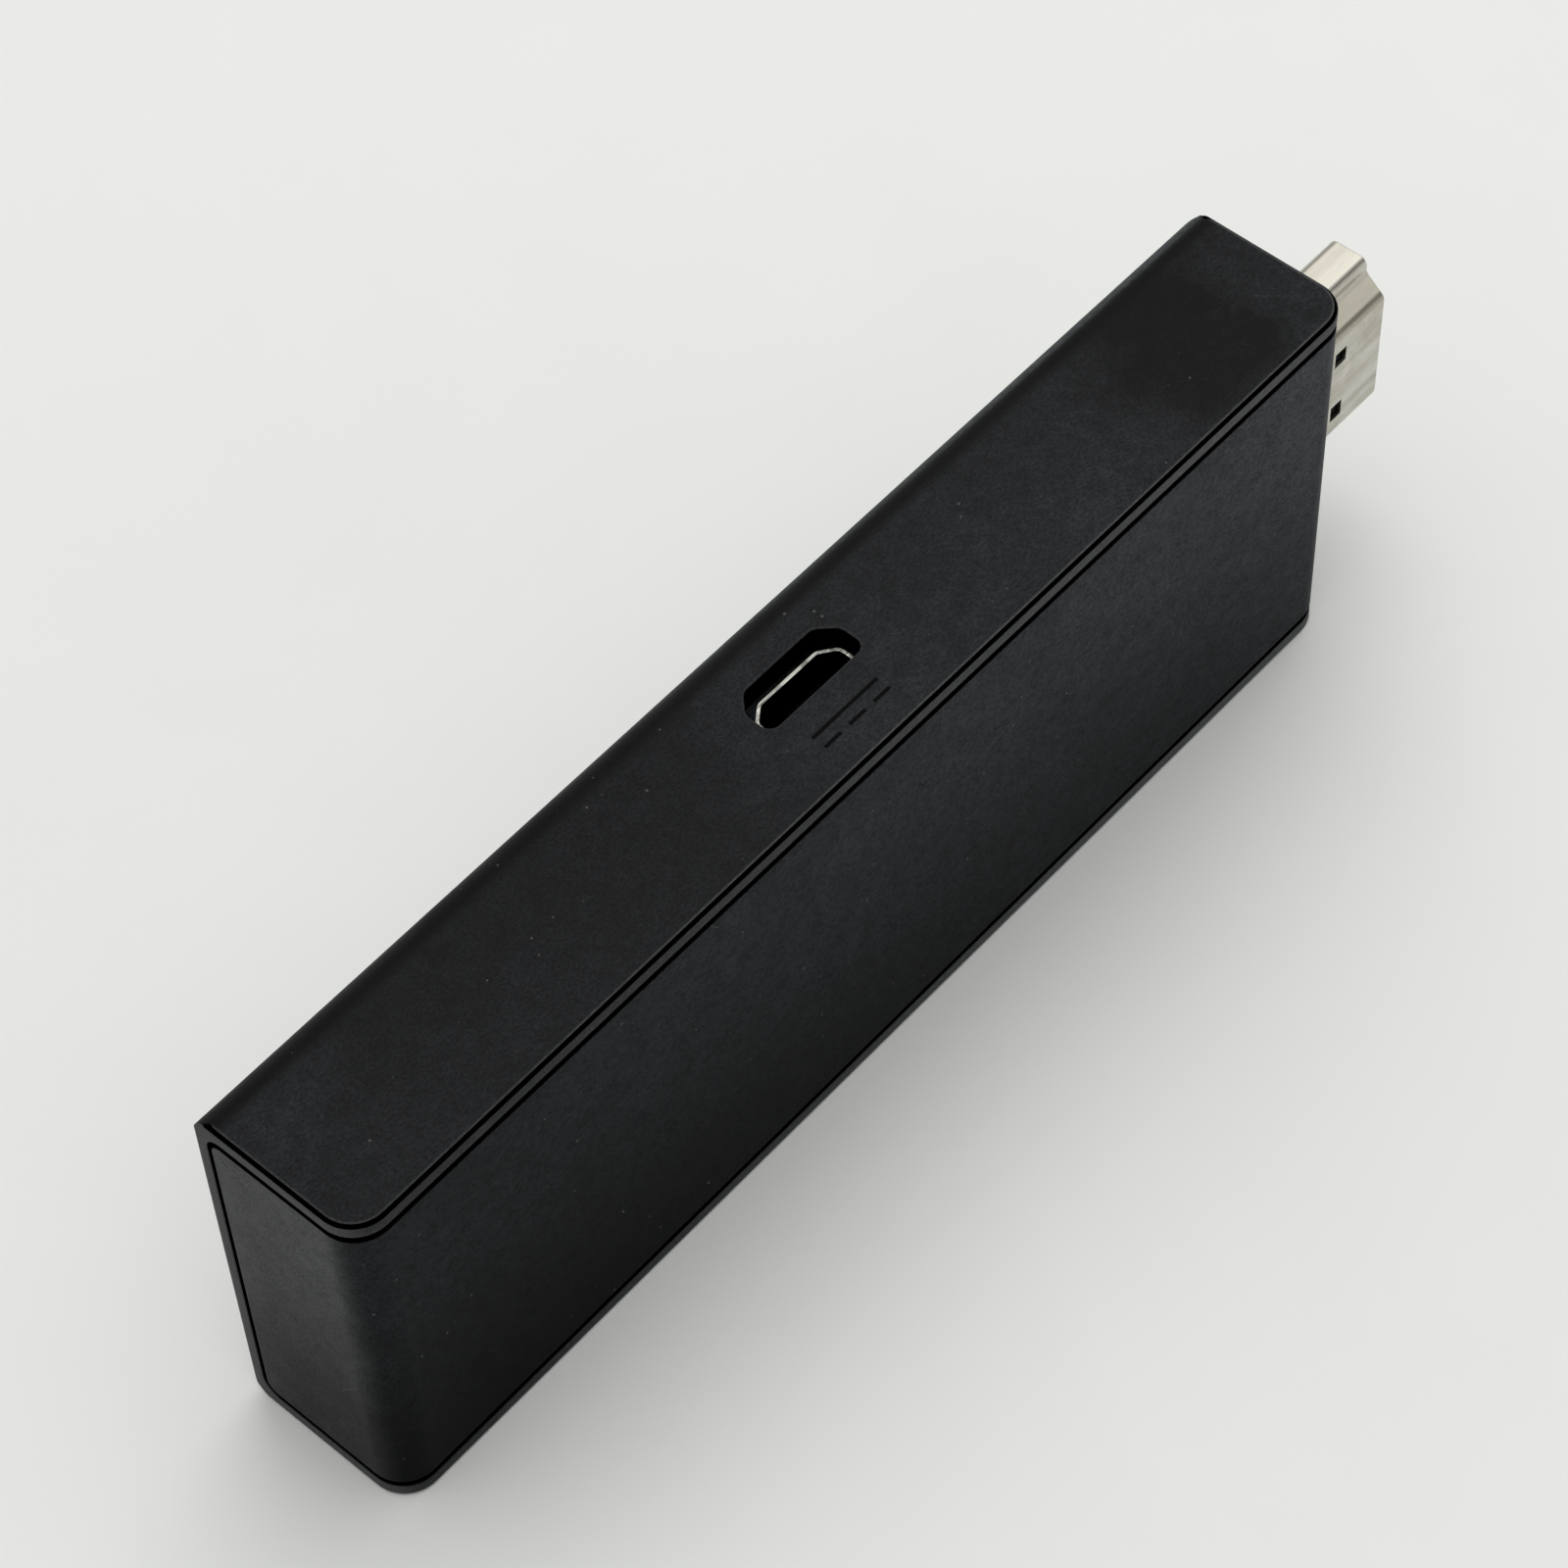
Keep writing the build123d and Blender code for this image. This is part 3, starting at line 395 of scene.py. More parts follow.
wiped = times(tree, between(tree, wandering, wiped_rise, wiped_fall), ramp(tree, across, *wiped_across))
at_blank_end = times(tree, ramp(tree, along, *held_along), ramp(tree, across, *held_across))
film_and_sheen = plus(tree, ramp(tree, wandering, *film_along), at_blank_end, ramp(tree, along, *film_blank))
film_and_sheen = times(tree, film_and_sheen, ramp(tree, across, *film_back), ramp(tree, along, *film_plug),
             ramp(tree, across, *film_stop), less(tree, wiped, share=0.75))

# The outer part of that rounding gets a painted sheen, most near the plug, and hands also touch the
# front face itself.
rim_sheen_shift = (-20 * mm, 34 * mm, 0, 0.4 * mm)
rim_sheen_across = (5.3 * mm, 5.8 * mm)
rim_sheen_along = (-46 * mm, 34 * mm, 0.03, 0.24)
front_from = (shell_high.y - 0.18 * mm, shell_high.y - 0.02 * mm)
front_film = 0.11
shifted = plus(tree, across, ramp(tree, along, *rim_sheen_shift))
painted_rim_sheen = times(tree, ramp(tree, shifted, *rim_sheen_across), ramp(tree, along, *rim_sheen_along))
film_and_sheen = plus(tree, film_and_sheen, switch(tree, ramp(tree, across, *front_from), painted_rim_sheen, front_film))
film_and_sheen = times(tree, film_and_sheen, vary(tree, cloudy, swing=0.4), vary(tree, mottled, swing=0.5),
             vary(tree, grain["Speckle"], swing=1.2))

# The narrow side's edge beside the groove and the bevel round the power opening get a painted
# highlight; the strip beyond the groove gets one paler than both. All three have small chips.
lit_from_walls = (0.42 * mm, 0.30 * mm)
lit_from_side = (0.14 * mm, 0.08 * mm)
lit_along = (-46 * mm, -2 * mm, 0.35, 0.7)
bevel_from_side = (0.005 * mm, 0.02 * mm)
bevel_from_walls = (1.0 * mm, 1.5 * mm)
bevel_across = (3.2 * mm, 2.8 * mm, 0, 0.3)
strip_from_walls = (0.16 * mm, 0.10 * mm)
strip_along = (-45 * mm, 40 * mm, 0.18, 0.86)
strip_end = (-46.4 * mm, -47.6 * mm, 0, 0.5)
lit = times(tree, ramp(tree, depth["Walls"], *lit_from_walls), ramp(tree, depth["Side"], *lit_from_side),
            ramp(tree, along, *lit_along))
bevel = times(tree, ramp(tree, depth["Side"], *bevel_from_side),
              ramp(tree, depth["Walls"], *bevel_from_walls), ramp(tree, across, *bevel_across))
strip = times(tree, plus(tree, ramp(tree, along, *strip_along), ramp(tree, along, *strip_end)),
              ramp(tree, depth["Walls"], *strip_from_walls))
# The three painted highlights together, broken by the speckle.
painted_highlights = calc(tree, "MAXIMUM", calc(tree, "MAXIMUM", lit, bevel), strip)
painted_highlights = times(tree, painted_highlights, vary(tree, grain["Speckle"], swing=0.5))
tone = lay(tree, shell_colour, shell_film, film_and_sheen)
tone = lay(tree, tone, shell_rub_and_highlight, painted_highlights)
tone = lay(tree, tone, shell_rub_and_highlight, rubbed, share=0.25)
tone = lay(tree, tone, dust_colour, times(tree, painted_highlights, chipped), share=0.8)
tone = lay(tree, tone, dust_colour, dust, share=0.5)
drive(tree, shader, Base_Color=tone, Roughness=ramp(tree, cloudy, 0, 1, at_start=0.5, at_full=0.58),
      Normal=bumps(tree, grain["Height"], strength=0.5, depth=0.02 * mm))


def follow(tree, shader, mask, height, tones, rough, relief):
    """Lets a finish's colour and roughness follow a mask, and its bump, if it has one, a height."""
    drive(tree, shader, Base_Color=lay(tree, *tones, mask), Roughness=ramp(tree, mask, 0, 1, *rough))
    if relief:
        drive(tree, shader, Normal=bumps(tree, height, *relief))


def moulded(name, grain_size, tones, rough, relief=None, **constants):
    """A finish in two tones that follows its mould's grain, its bump with strength and depth."""
    material, tree, shader = finish_of(name, **constants)
    grain = use(tree, mould_grain, Size=grain_size)
    follow(tree, shader, grain["Tone"], grain["Height"], tones, rough, relief)
    return material


def wear(piece, material):
    """Gives a piece its finish in every material slot."""
    for slot in piece.material_slots:
        slot.material = material


def wear_inside(piece, material, inside):
    """Gives the faces whose middle lies inside a second finish."""
    piece.data.materials.append(material)
    deep = [inside(face.center) for face in piece.data.polygons]
    for part in (piece.data.vertices, piece.data.edges):
        part.foreach_set("select", [False] * len(part))
    piece.data.polygons.foreach_set("select", deep)
    bpy.ops.object.mode_set(mode="EDIT")
    bpy.ops.mesh.select_mode(type="FACE")
    piece.active_material_index = len(piece.material_slots) - 1
    bpy.ops.object.material_slot_assign()
    bpy.ops.object.mode_set(mode="OBJECT")


# The same plastic inside gaps and holes, where no light or hand reaches. Its near-black colour is
# painted shade.
gap_shade_tones = ((0.0003, 0.0003, 0.0004, 1), (0.0007, 0.0007, 0.0008, 1))
painted_gap_shade = moulded("gap_painted_shade_plastic", 0.13 * mm, gap_shade_tones, rough=(0.7, 0.8), Specular_IOR_Level=0.0)
wear(shell, charcoal)
wear_inside(shell, painted_gap_shade, in_shell_gap)
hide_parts("front_shell")
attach(shell, "root")

# Main board
# Glass-filled laminate with copper tracks under a green solder mask. Its holes drop over the
# tray's four pegs, and the rear cover's bosses hold it down on them.
mask_green = (0.012, 0.075, 0.038, 1)
mask_green_lit = (0.015, 0.09, 0.045, 1)
track_green = (0.035, 0.15, 0.07, 1)


def wear_nodes(material, *nodes):
    """Gives CAD pieces that keep their own shape a finish."""
    for node in nodes:
        wear(frame["nodes"][node], material)


laminate, tree, shader = finish_of("green_solder_mask", Coat_Weight=0.4, Coat_Roughness=0.2)
tracks = put(tree, "TexBrick", {"Vector": place(tree), "Scale": 900.0, "Mortar Size": 0.012,
                                "Color1": mask_green, "Color2": mask_green_lit, "Mortar": track_green})
weave = use(tree, mould_grain, Size=0.2 * mm)
drive(tree, shader, Base_Color=tracks.outputs[0],
      Roughness=ramp(tree, weave["Tone"], 0, 1, at_start=0.35, at_full=0.5),
      Normal=bumps(tree, weave["Height"], strength=0.2, depth=0.02 * mm))
wear_nodes(laminate, "main_board")

# Chips
# Packages moulded in black epoxy round their dies and soldered on the board, each with a dimple
# over its first pin.
epoxy_tones = ((0.018, 0.018, 0.019, 1), (0.032, 0.032, 0.033, 1))
epoxy = moulded("moulded_epoxy", 0.15 * mm, epoxy_tones, rough=(0.6, 0.75), relief=(0.4, 0.02 * mm))
wear_nodes(epoxy, "processor_chip", "memory_chip", "flash_chip", "radio_chip", "power_chip")

# Small parts on the board
# Inductors pressed from grey ferrite, and capacitors and filters fired from brown ceramic, all
# soldered on the board by their ends.
ferrite_tones = ((0.055, 0.055, 0.058, 1), (0.11, 0.11, 0.115, 1))
ceramic_tones = ((0.30, 0.20, 0.12, 1), (0.42, 0.30, 0.19, 1))
fired_grain = 0.1 * mm
fired_rough = (0.45, 0.65)
fired_relief = (0.3, 0.01 * mm)
ferrite = moulded("grey_ferrite", fired_grain, ferrite_tones, fired_rough, fired_relief)
ceramic = moulded("fired_ceramic", fired_grain, ceramic_tones, fired_rough, fired_relief)
wear_nodes(ferrite, "power_inductors")
wear_nodes(ceramic, "board_capacitors", "video_line_filters")

# Shield cans, antennas and heat spreaders
# Cans of stamped tin plate over the chips and round the crystals, two antennas stamped from a
# spring alloy, and plain aluminium plates that spread the heat against the housing's broad walls.
tin_tones = ((0.68, 0.68, 0.67, 1), (0.48, 0.48, 0.47, 1))
alloy_tones = ((0.76, 0.68, 0.50, 1), (0.60, 0.52, 0.36, 1))
aluminium_tones = ((0.80, 0.80, 0.81, 1), (0.62, 0.62, 0.63, 1))
rolled_streaks = (12 * mm, 0.2 * mm)
rolled_relief = (0.2, 0.01 * mm)

# Fine lines that rolling and drawing leave in metal.
streaks, given, out = new_group("streaks", [("Long", "Float", 6 * mm), ("Wide", "Float", 0.35 * mm)],
                                ["Mask"])
at = parts_of(streaks, place(streaks))
stretched = put(streaks, "CombineXYZ", {"X": calc(streaks, "DIVIDE", at["X"], given["Long"]),
                                        "Y": calc(streaks, "DIVIDE", at["Y"], given["Wide"]),
                                        "Z": calc(streaks, "DIVIDE", at["Z"], given["Wide"])}).outputs[0]
lined = put(streaks, "TexNoise", {"Vector": stretched, "Scale": 1.0, "Detail": 4.0, "Roughness": 0.6})
streaks.links.new(ramp(streaks, lined.outputs[0], start=0.3, full=0.7), out.inputs["Mask"])


def rolled_metal(name, lines, tones, rough, relief=None):
    """A metal finish in two tones that follows its rolling lines, of a length and a width."""
    material, tree, shader = finish_of(name, Metallic=1.0)
    drawn = use(tree, streaks, Long=lines[0], Wide=lines[1])["Mask"]
    follow(tree, shader, drawn, drawn, tones, rough, relief)
    return material


tin_plate = rolled_metal("tin_plate", rolled_streaks, tin_tones, (0.28, 0.42), rolled_relief)
spring_alloy = rolled_metal("spring_alloy", rolled_streaks, alloy_tones, (0.25, 0.4), rolled_relief)
aluminium = rolled_metal("mill_aluminium", rolled_streaks, aluminium_tones, (0.35, 0.5), rolled_relief)
for can in ("front", "rear", "radio"):
    wear_nodes(tin_plate, can + "_can_frame", can + "_can_lid")
wear_nodes(tin_plate, "quartz_crystals")
wear_nodes(spring_alloy, "antenna_upper", "antenna_lower")
wear_nodes(aluminium, "front_heat_spreader", "rear_heat_spreader")

# Video plug
# A shell folded from steel sheet and plated with nickel, round a black nylon insulator that holds
# two rows of gilt contacts. Its legs are soldered into the board.
plug_low, plug_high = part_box("plug_shell")
plug_middle = (plug_low.z + plug_high.z) / 2
plug_edge = 0.03 * mm
nickel_colour = (0.60, 0.580, 0.525, 1)
nickel_dull_and_shade = (0.40, 0.375, 0.31, 1)
painted_top_light = (0.51, 0.49, 0.44, 1)
painted_top_shade = (0.41, 0.39, 0.34, 1)              # towards the wide side
nickel_painted_highlight = (0.74, 0.70, 0.60, 1)
nickel_stained = (0.30, 0.28, 0.23, 1)
nylon_tones = ((0.003, 0.003, 0.0032, 1), (0.006, 0.006, 0.0065, 1))
gilt_tones = ((0.90, 0.66, 0.28, 1), (0.72, 0.50, 0.20, 1))


def plug_shows(point):
    """True outside the housing."""
    return point.x > shell_high.x


plug = own_copy("plug_shell", "plug_shell_plated")
soften(plug, plug_shows, width=plug_edge, rings=3)
even_shading(plug)

# A thin straight mark from one point to another, such as a scratch or a stain.
scratch, given, out = new_group("scratch", [("Start", "Vector", (0, 0, 0)), ("End", "Vector", (0, 0, 0)),
                                            ("Width", "Float", 0.06 * mm)], ["Mask"])
stroke = vector(scratch, "SUBTRACT", given["End"], given["Start"])
reached = vector(scratch, "SUBTRACT", place(scratch), given["Start"])
share = calc(scratch, "DIVIDE", vector(scratch, "DOT_PRODUCT", reached, stroke, result="Value"),
             vector(scratch, "DOT_PRODUCT", stroke, stroke, result="Value"), clamp=True)
aside = vector(scratch, "DISTANCE", reached, scaled_by(scratch, stroke, share), result="Value")
scratch.links.new(ramp(scratch, aside, given["Width"], 0), out.inputs["Mask"])


def marked(tree, tone, colour, marks):
    """A tone with marks of a colour on it, each from a start to an end, with a width and a share."""
    for start, end, width, share in marks:
        mark = use(tree, scratch, Start=Vector(start) * mm, End=Vector(end) * mm, Width=width * mm)["Mask"]
        tone = lay(tree, tone, colour, mark, share)
    return tone


nickel, tree, shader = finish_of("satin_nickel", Metallic=1.0)
drawn = use(tree, streaks, Long=7 * mm, Wide=0.4 * mm)["Mask"]
banded = use(tree, streaks, Long=14 * mm, Wide=0.9 * mm)["Mask"]
tarnish = use(tree, smudges, Size=2.5 * mm, Low=0.38, High=0.68)["Mask"]
at = parts_of(tree, place(tree))

# The bends at both ends of the narrow side get painted shade, and the slopes beyond them a pale
# painted highlight. The top face has painted tones of its own, darker towards the wide side.
# The stains are in millimetres.
fold_rise = (4.3 * mm, 4.5 * mm)                # heights above or below the plug's middle
fold_fall = (4.95 * mm, 4.75 * mm)
slope_rise = (4.8 * mm, 4.95 * mm)
slope_fall = (5.85 * mm, 5.65 * mm)
slope_rough = 0.6
fold_shade = 0.7
bands_dull = 0.6
tarnish_dull = 0.5
polish = -0.1
top_from = (plug_high.z - 0.2 * mm, plug_high.z - 0.05 * mm)
top_across = (-0.2 * mm, 1.2 * mm)
stains = (((43.5, -2.37, 12.2), (47.4, -2.37, 12.35), 0.6, 0.55),
          ((44.3, -2.37, 14.4), (46.2, -2.37, 14.4), 0.5, 0.3),
          ((45.2, -2.37, 17.3), (47.6, -2.37, 17.5), 0.6, 0.35))
height = calc(tree, "ABSOLUTE", calc(tree, "SUBTRACT", at["Z"], plug_middle))
fold = between(tree, height, fold_rise, fold_fall)
slope = between(tree, height, slope_rise, slope_fall)
dull_and_shade = plus(tree, times(tree, banded, bands_dull), times(tree, tarnish, tarnish_dull), polish)
dull_and_shade = calc(tree, "MULTIPLY_ADD", fold, fold_shade, dull_and_shade, clamp=True)
painted_top_tone = lay(tree, painted_top_light, painted_top_shade, ramp(tree, at["Y"], *top_across))
tone = lay(tree, nickel_colour, nickel_dull_and_shade, dull_and_shade)
tone = lay(tree, tone, nickel_painted_highlight, slope, share=0.9)
tone = lay(tree, tone, painted_top_tone, ramp(tree, at["Z"], *top_from), share=0.85)
tone = marked(tree, tone, nickel_stained, stains)
tone = lay(tree, tone, nickel_dull_and_shade, drawn, share=0.15)
rough = switch(tree, slope, ramp(tree, drawn, 0, 1, at_start=0.22, at_full=0.34), slope_rough)
drive(tree, shader, Base_Color=tone, Roughness=rough,
      Normal=bumps(tree, drawn, strength=0.15, depth=0.01 * mm))
wear(plug, nickel)
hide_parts("plug_shell")
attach(plug, "root")

nylon = moulded("black_nylon", 0.08 * mm, nylon_tones, rough=(0.45, 0.6), relief=(0.3, 0.01 * mm),
                Specular_IOR_Level=0.1)
gilt_streaks = (2 * mm, 0.06 * mm)
gilt = rolled_metal("gilt_contacts", gilt_streaks, gilt_tones, rough=(0.18, 0.32))
wear_nodes(nylon, "plug_insulator")
wear_nodes(gilt, "plug_contacts_front", "plug_contacts_back")

# Power socket
# A small shell folded from tinned steel, let into the board's edge under the opening in the upper
# narrow side. A nylon tongue and five gilt pins are inside it, in the dark, painted dark as painted shade.
socket_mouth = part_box("power_socket_shell")[1].z
socket_edge = 0.04 * mm
mouth_deep = 0.1 * mm           # how far down the softened edges lie
shade_deep = 0.06 * mm          # below this no light reaches
socket_streaks = (2.5 * mm, 0.12 * mm)
socket_tones = ((0.64, 0.63, 0.58, 1), (0.09, 0.088, 0.08, 1))
socket_spot = (0.05, 0.05, 0.045, 1)
shaded_tones = ((0.0030, 0.0030, 0.0028, 1), (0.0012, 0.0012, 0.0011, 1))
gilt_shade_tones = ((0.012, 0.009, 0.004, 1), (0.008, 0.006, 0.003, 1))


def socket_shows(point):
    """True round the mouth."""
    return point.z > socket_mouth - mouth_deep


def in_socket(point):
    """True below the mouth."""
    return point.z < socket_mouth - shade_deep


socket = own_copy("power_socket_shell", "power_socket_shell_plated")
soften(socket, socket_shows, width=socket_edge, rings=3)
even_shading(socket)

tin, tree, shader = finish_of("worn_tin", Metallic=1.0)
drawn = use(tree, streaks, Long=socket_streaks[0], Wide=socket_streaks[1])["Mask"]
spotted = use(tree, smudges, Size=0.6 * mm, Low=0.5, High=0.6)["Mask"]
tone = lay(tree, *socket_tones, drawn)
tone = lay(tree, tone, socket_spot, spotted, share=0.6)
drive(tree, shader, Base_Color=tone, Roughness=ramp(tree, drawn, 0, 1, at_start=0.28, at_full=0.4))
# Below the mouth the tin and the gilt pins are painted near black: painted shade.
tin_painted_shade = rolled_metal("tin_in_shade", socket_streaks, shaded_tones, rough=(0.5, 0.6))
gilt_painted_shade = rolled_metal("gilt_painted_shade", gilt_streaks, gilt_shade_tones, rough=(0.4, 0.5))
wear(socket, tin)
wear_inside(socket, tin_painted_shade, in_socket)
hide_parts("power_socket_shell")
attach(socket, "root")
# The insulator deep in the socket is painted near black too: painted shade.
wear_nodes(painted_gap_shade, "power_socket_insulator")
wear_nodes(gilt_painted_shade, "power_socket_contacts")

# Heat pads and adhesive sheets
# Soft grey-blue silicone pressed between chips, cans and spreaders, and black film with adhesive
# on both faces that holds the spreaders on the housing's walls.
silicone_tones = ((0.32, 0.42, 0.50, 1), (0.42, 0.52, 0.60, 1))
film_tones = ((0.03, 0.03, 0.03, 1), (0.06, 0.06, 0.06, 1))
soft_grain = 0.3 * mm
soft_rough = (0.6, 0.8)
soft_relief = (0.4, 0.03 * mm)
silicone = moulded("heat_pad_silicone", soft_grain, silicone_tones, soft_rough, soft_relief)
adhesive = moulded("adhesive_film", soft_grain, film_tones, soft_rough, soft_relief)
for under in ("processor", "memory", "flash", "radio", "front_lid", "rear_lid"):
    wear_nodes(silicone, under + "_heat_pad")
wear_nodes(adhesive, "front_spreader_tape", "rear_spreader_tape")

# Rear cover
# The wrap that makes the back face and both ends, moulded in a smoother black plastic and snapped
# into the tray by the hooks along its long sides. Its blank end is the one that fingers hold.
cover_low, cover_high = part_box("rear_cover")
cover_shown = 0.2 * mm          # depth of the edges that show beside the seam
cover_edge = 0.04 * mm
cover_colour = (0.0009, 0.0010, 0.0012, 1)
back_painted_sheen = (0.080, 0.085, 0.094, 1)
end_haze_and_sheen = (0.084, 0.088, 0.086, 1)
speckle_swing = 0.9             # how far the film varies with the grain's speckle
mottle_swing = 0.3
least = 0.4                     # what the two leave of it at the least


def cover_shows(point):
    """True on the outer faces and just inside the seam."""
    return wall_depth(point) < cover_shown


def in_cover_gap(point):
    """True inside the seam, its softened edge too, and behind the walls."""
    return wall_depth(point) > cover_edge


cover = own_copy("rear_cover", "rear_cover_moulding")
soften(cover, cover_shows, width=cover_edge, rings=3)
even_shading(cover)

satin, tree, shader = finish_of("satin_black_plastic", Specular_IOR_Level=0.01)
grain = use(tree, mould_grain, Size=0.12 * mm)
cloudy = use(tree, smudges, Size=6 * mm, Low=0.35, High=0.7)["Mask"]
mottled = use(tree, smudges, Size=1.1 * mm, Low=0.3, High=0.7)["Mask"]
dust = use(tree, specks, Spacing=0.7 * mm, Radius=0.11 * mm, Share=0.16)["Mask"]
depth = use(tree, skin_depth, Low=cover_low, High=cover_high, Corner=back_corner)
along, across, up = parts_of(tree, place(tree))
uneven = plus(tree, times(tree, grain["Speckle"], speckle_swing), times(tree, mottled, mottle_swing), least)
uneven = times(tree, uneven, vary(tree, cloudy, swing=0.3))

# Its back face is painted paler towards the plug and towards the top, a painted reflection of the
# floor, and a little towards the blank end. Its changes are given as those of the front shell's film.
top_up = (shell_low.z, shell_high.z)
top_along = (-60 * mm, 60 * mm, 0.165, 0.365)
all_along = (-60 * mm, 60 * mm, 0.012, 0.212)
blank_along = (-38 * mm, -46 * mm, 0, 0.02)
plug_along = (24 * mm, 36 * mm, 0, 0.09)
film_and_sheen = times(tree, ramp(tree, up, *top_up), ramp(tree, along, *top_along))
film_and_sheen = plus(tree, film_and_sheen, ramp(tree, along, *all_along), ramp(tree, along, *blank_along),
            ramp(tree, along, *plug_along))
tone = lay(tree, cover_colour, back_painted_sheen, times(tree, film_and_sheen, uneven))

# Fingers hold the blank end, so a pale haze lies on it. Painted light is laid in with it: paler towards
# the top as a painted reflection, weaker low down away from the front face as painted shade, and a
# painted highlight along the seam. It ends where the corner to the back face begins, with a limit that
# leans.
haze_along = (cover_low.x + 2.0 * mm, cover_low.x + 1.0 * mm)
haze_across = (-5.75 * mm, -3.65 * mm)
haze_lean = (16 * mm, 26 * mm, 0, -0.35 * mm)
painted_light_up = (7 * mm, 18.5 * mm, 0.44, 0.87)
painted_seam_highlight = (0.28 * mm, 0.14 * mm, 0, 0.3)
shade_up = (34 * mm, 14 * mm)
shade_across = (6 * mm, 1.5 * mm)
leaning = plus(tree, across, ramp(tree, up, *haze_lean))
painted_shade = times(tree, ramp(tree, up, *shade_up), ramp(tree, across, *shade_across))
at_blank_end = times(tree, ramp(tree, along, *haze_along), ramp(tree, leaning, *haze_across),
             less(tree, painted_shade, share=0.4))
to_seam = calc(tree, "MINIMUM", depth["Side"], calc(tree, "SUBTRACT", cover_high.y, across))
painted_light = plus(tree, ramp(tree, up, *painted_light_up), ramp(tree, to_seam, *painted_seam_highlight))
at_blank_end = calc(tree, "MULTIPLY", at_blank_end, painted_light, clamp=True)
tone = lay(tree, tone, end_haze_and_sheen, times(tree, at_blank_end, uneven))
tone = lay(tree, tone, dust_colour, dust, share=0.7)

# Four short scratches, in millimetres: three on the blank end and one on the back face.
scratches = (((-47.7, -4.33, 11.89), (-47.65, -4.79, 11.86), 0.06, 0.9),
             ((-47.7, -2.4, 9.7), (-47.7, -3.73, 11.39), 0.05, 0.35),
             ((-47.7, -3.16, 11.74), (-47.7, -3.71, 11.25), 0.05, 0.35),
             ((-19.87, -6.3, 28.4), (-19.23, -6.3, 27.49), 0.05, 0.3))
tone = marked(tree, tone, dust_colour, scratches)
drive(tree, shader, Base_Color=tone, Roughness=ramp(tree, cloudy, 0, 1, at_start=0.36, at_full=0.44),
      Normal=bumps(tree, grain["Height"], strength=0.4, depth=0.02 * mm))
wear(cover, satin)
# Inside the seam and behind the walls the cover is painted near black: painted shade.
wear_inside(cover, painted_gap_shade, in_cover_gap)
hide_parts("rear_cover")
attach(cover, "root")

# Power sign
# The plain sign for direct current, a line over three dashes, printed in black ink beside the
# power opening.
sign_middle = Vector((-4.65 * mm, -3.4 * mm, shell_high.z))
sign_long = 5.6 * mm
sign_stroke = 0.24 * mm
sign_rows = 0.95 * mm           # from the line to the dashes
sign_dash = 1.4 * mm
dash_step = (sign_long - sign_dash) / 2
stroke_round = 0.35 * sign_stroke
ink_thick = 0.012 * mm
ink_bedded = 0.006 * mm         # how far the ink reaches into the grain
ink_tones = ((0.0006, 0.0007, 0.0008, 1), (0.0016, 0.0017, 0.0020, 1))


def printed_bar(name, middle, length):
    """A flat stroke of ink with rounded ends, along X."""
    bpy.ops.object.select_all(action="DESELECT")
    bpy.ops.mesh.primitive_plane_add(size=1, location=middle - Vector((0, 0, ink_bedded)))
    bar = bpy.context.active_object
    bar.name = name
    bpy.ops.object.mode_set(mode="EDIT")
    bpy.ops.mesh.select_all(action="SELECT")
    bpy.ops.transform.resize(value=(length, sign_stroke, 1))
    bpy.ops.mesh.bevel(offset=stroke_round, segments=4, affect="VERTICES")
    bpy.ops.mesh.select_all(action="SELECT")
    bpy.ops.mesh.extrude_region_move(TRANSFORM_OT_translate={"value": (0, 0, ink_bedded + ink_thick)})
    bpy.ops.mesh.select_all(action="SELECT")
    bpy.ops.mesh.normals_make_consistent(inside=False)
    bpy.ops.object.mode_set(mode="OBJECT")
    bpy.ops.object.transform_apply(location=True, rotation=True, scale=True)
    return bar


sign = printed_bar("power_sign", sign_middle + Vector((0, sign_rows / 2, 0)), sign_long)
bars = [sign, printed_bar("dash", sign_middle - Vector((dash_step, sign_rows / 2, 0)), sign_dash)]
for _ in range(2):
    bpy.ops.object.duplicate_move(TRANSFORM_OT_translate={"value": (dash_step, 0, 0)})
    bpy.ops.object.transform_apply(location=True, rotation=True, scale=True)
    bars.append(bpy.context.active_object)
bpy.ops.object.select_all(action="DESELECT")
for bar in bars:
    bar.select_set(True)
bpy.context.view_layer.objects.active = sign
bpy.ops.object.join()

ink = moulded("black_ink", 0.11 * mm, ink_tones, rough=(0.4, 0.55), relief=(0.3, 0.02 * mm),
              Specular_IOR_Level=0.03)
sign.data.materials.append(ink)
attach(sign, "root")

# Floor, light and camera
# A pale matt table, a square soft lamp high behind the stick, and a room that is palest overhead
# and dim half way up. The camera looks down past the blank end at the back face.
floor_size = 6.0
floor_tones = ((0.82, 0.823, 0.812, 1), (0.805, 0.808, 0.798, 1))
bpy.ops.object.select_all(action="DESELECT")
bpy.ops.mesh.primitive_plane_add(size=floor_size, location=(0, 0, 0))
floor = bpy.context.active_object
floor.name = "floor"
matt, tree, shader = finish_of("pale_table", Specular_IOR_Level=0.2)
haze = use(tree, smudges, Size=40 * mm, Low=0.3, High=0.7)["Mask"]
follow(tree, shader, haze, haze, floor_tones, rough=(0.7, 0.8), relief=None)
floor.data.materials.append(matt)


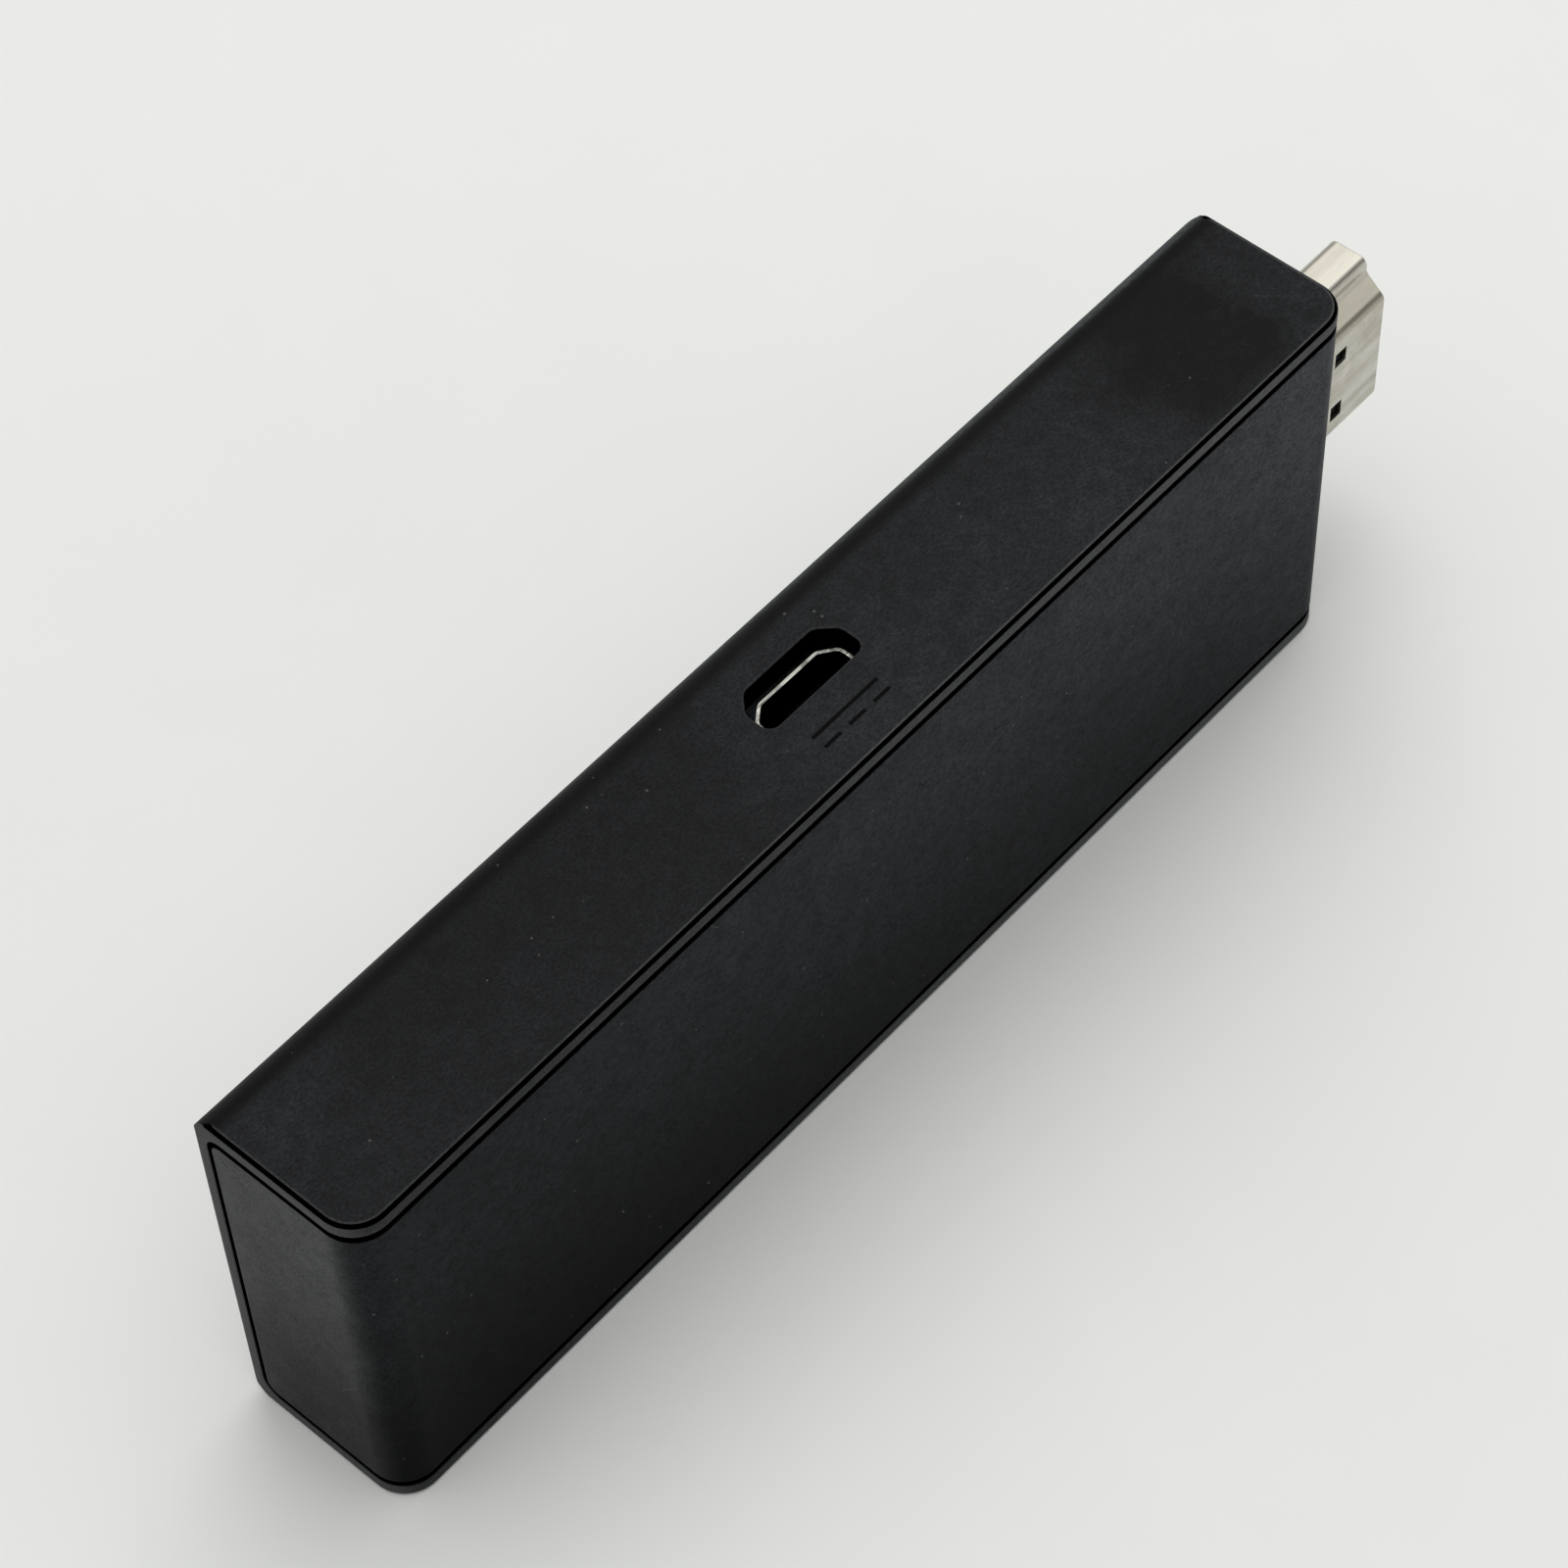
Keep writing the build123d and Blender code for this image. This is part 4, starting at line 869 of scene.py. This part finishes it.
def from_stick(azimuth, elevation):
    """The direction from the stick at an azimuth and an elevation in degrees, 0 azimuth being -Y."""
    turn, rise = math.radians(azimuth), math.radians(elevation)
    return Vector((math.sin(turn) * math.cos(rise), -math.cos(turn) * math.cos(rise), math.sin(rise)))


camera_aim = Vector((-2.918, 3.784, 15.0)) * mm         # where the camera's axis crosses the stick
camera_distance = 281.36 * mm
camera_roll = math.radians(-2.924)
towards_camera = from_stick(azimuth=-46.255, elevation=53.826)
bpy.ops.object.camera_add()
camera = bpy.context.active_object
camera.data.sensor_width = 36.0
camera.data.lens = 108.05
camera.data.clip_start = 10 * mm
camera.location = camera_aim + camera_distance * towards_camera
camera.rotation_mode = "QUATERNION"
camera.rotation_quaternion = (-towards_camera).to_track_quat("-Z", "Y") @ Quaternion((0, 0, 1), camera_roll)
bpy.context.scene.camera = camera

lamp_distance = 1.2
towards_lamp = from_stick(azimuth=126, elevation=55)
bpy.ops.object.light_add(type="AREA", location=towards_lamp * lamp_distance)
lamp = bpy.context.active_object
lamp.name = "soft_lamp"
lamp.rotation_mode = "QUATERNION"
lamp.rotation_quaternion = (-towards_lamp).to_track_quat("-Z", "Y")
lamp.data.shape = "SQUARE"
lamp.data.size = 1.0
lamp.data.energy = 3.45
lamp.data.color = (1.0, 0.995, 0.975)

room_strength = 1.02
room_tint = (0.99, 1.0, 0.98)
room_light = ((0.0, 0.80), (0.35, 0.54), (0.6, 0.12), (0.85, 1.08), (1.0, 2.15))    # at a sine of elevation
world = bpy.data.worlds.new("room")
bpy.context.scene.world = world
world.use_nodes = True
tree = world.node_tree
sine = parts_of(tree, put(tree, "TexCoord").outputs["Generated"])["Z"]
paler = put(tree, "ValToRGB", {0: sine})
stops = paler.color_ramp.elements
while len(stops) < len(room_light):
    stops.new(0.5)
for stop, (level, light) in zip(stops, room_light):
    stop.position = level
    stop.color = [light * share for share in room_tint] + [1]
room = tree.nodes["Background"]
tree.links.new(paler.outputs[0], room.inputs["Color"])
room.inputs["Strength"].default_value = room_strength
bpy.context.scene.view_settings.view_transform = "Standard"
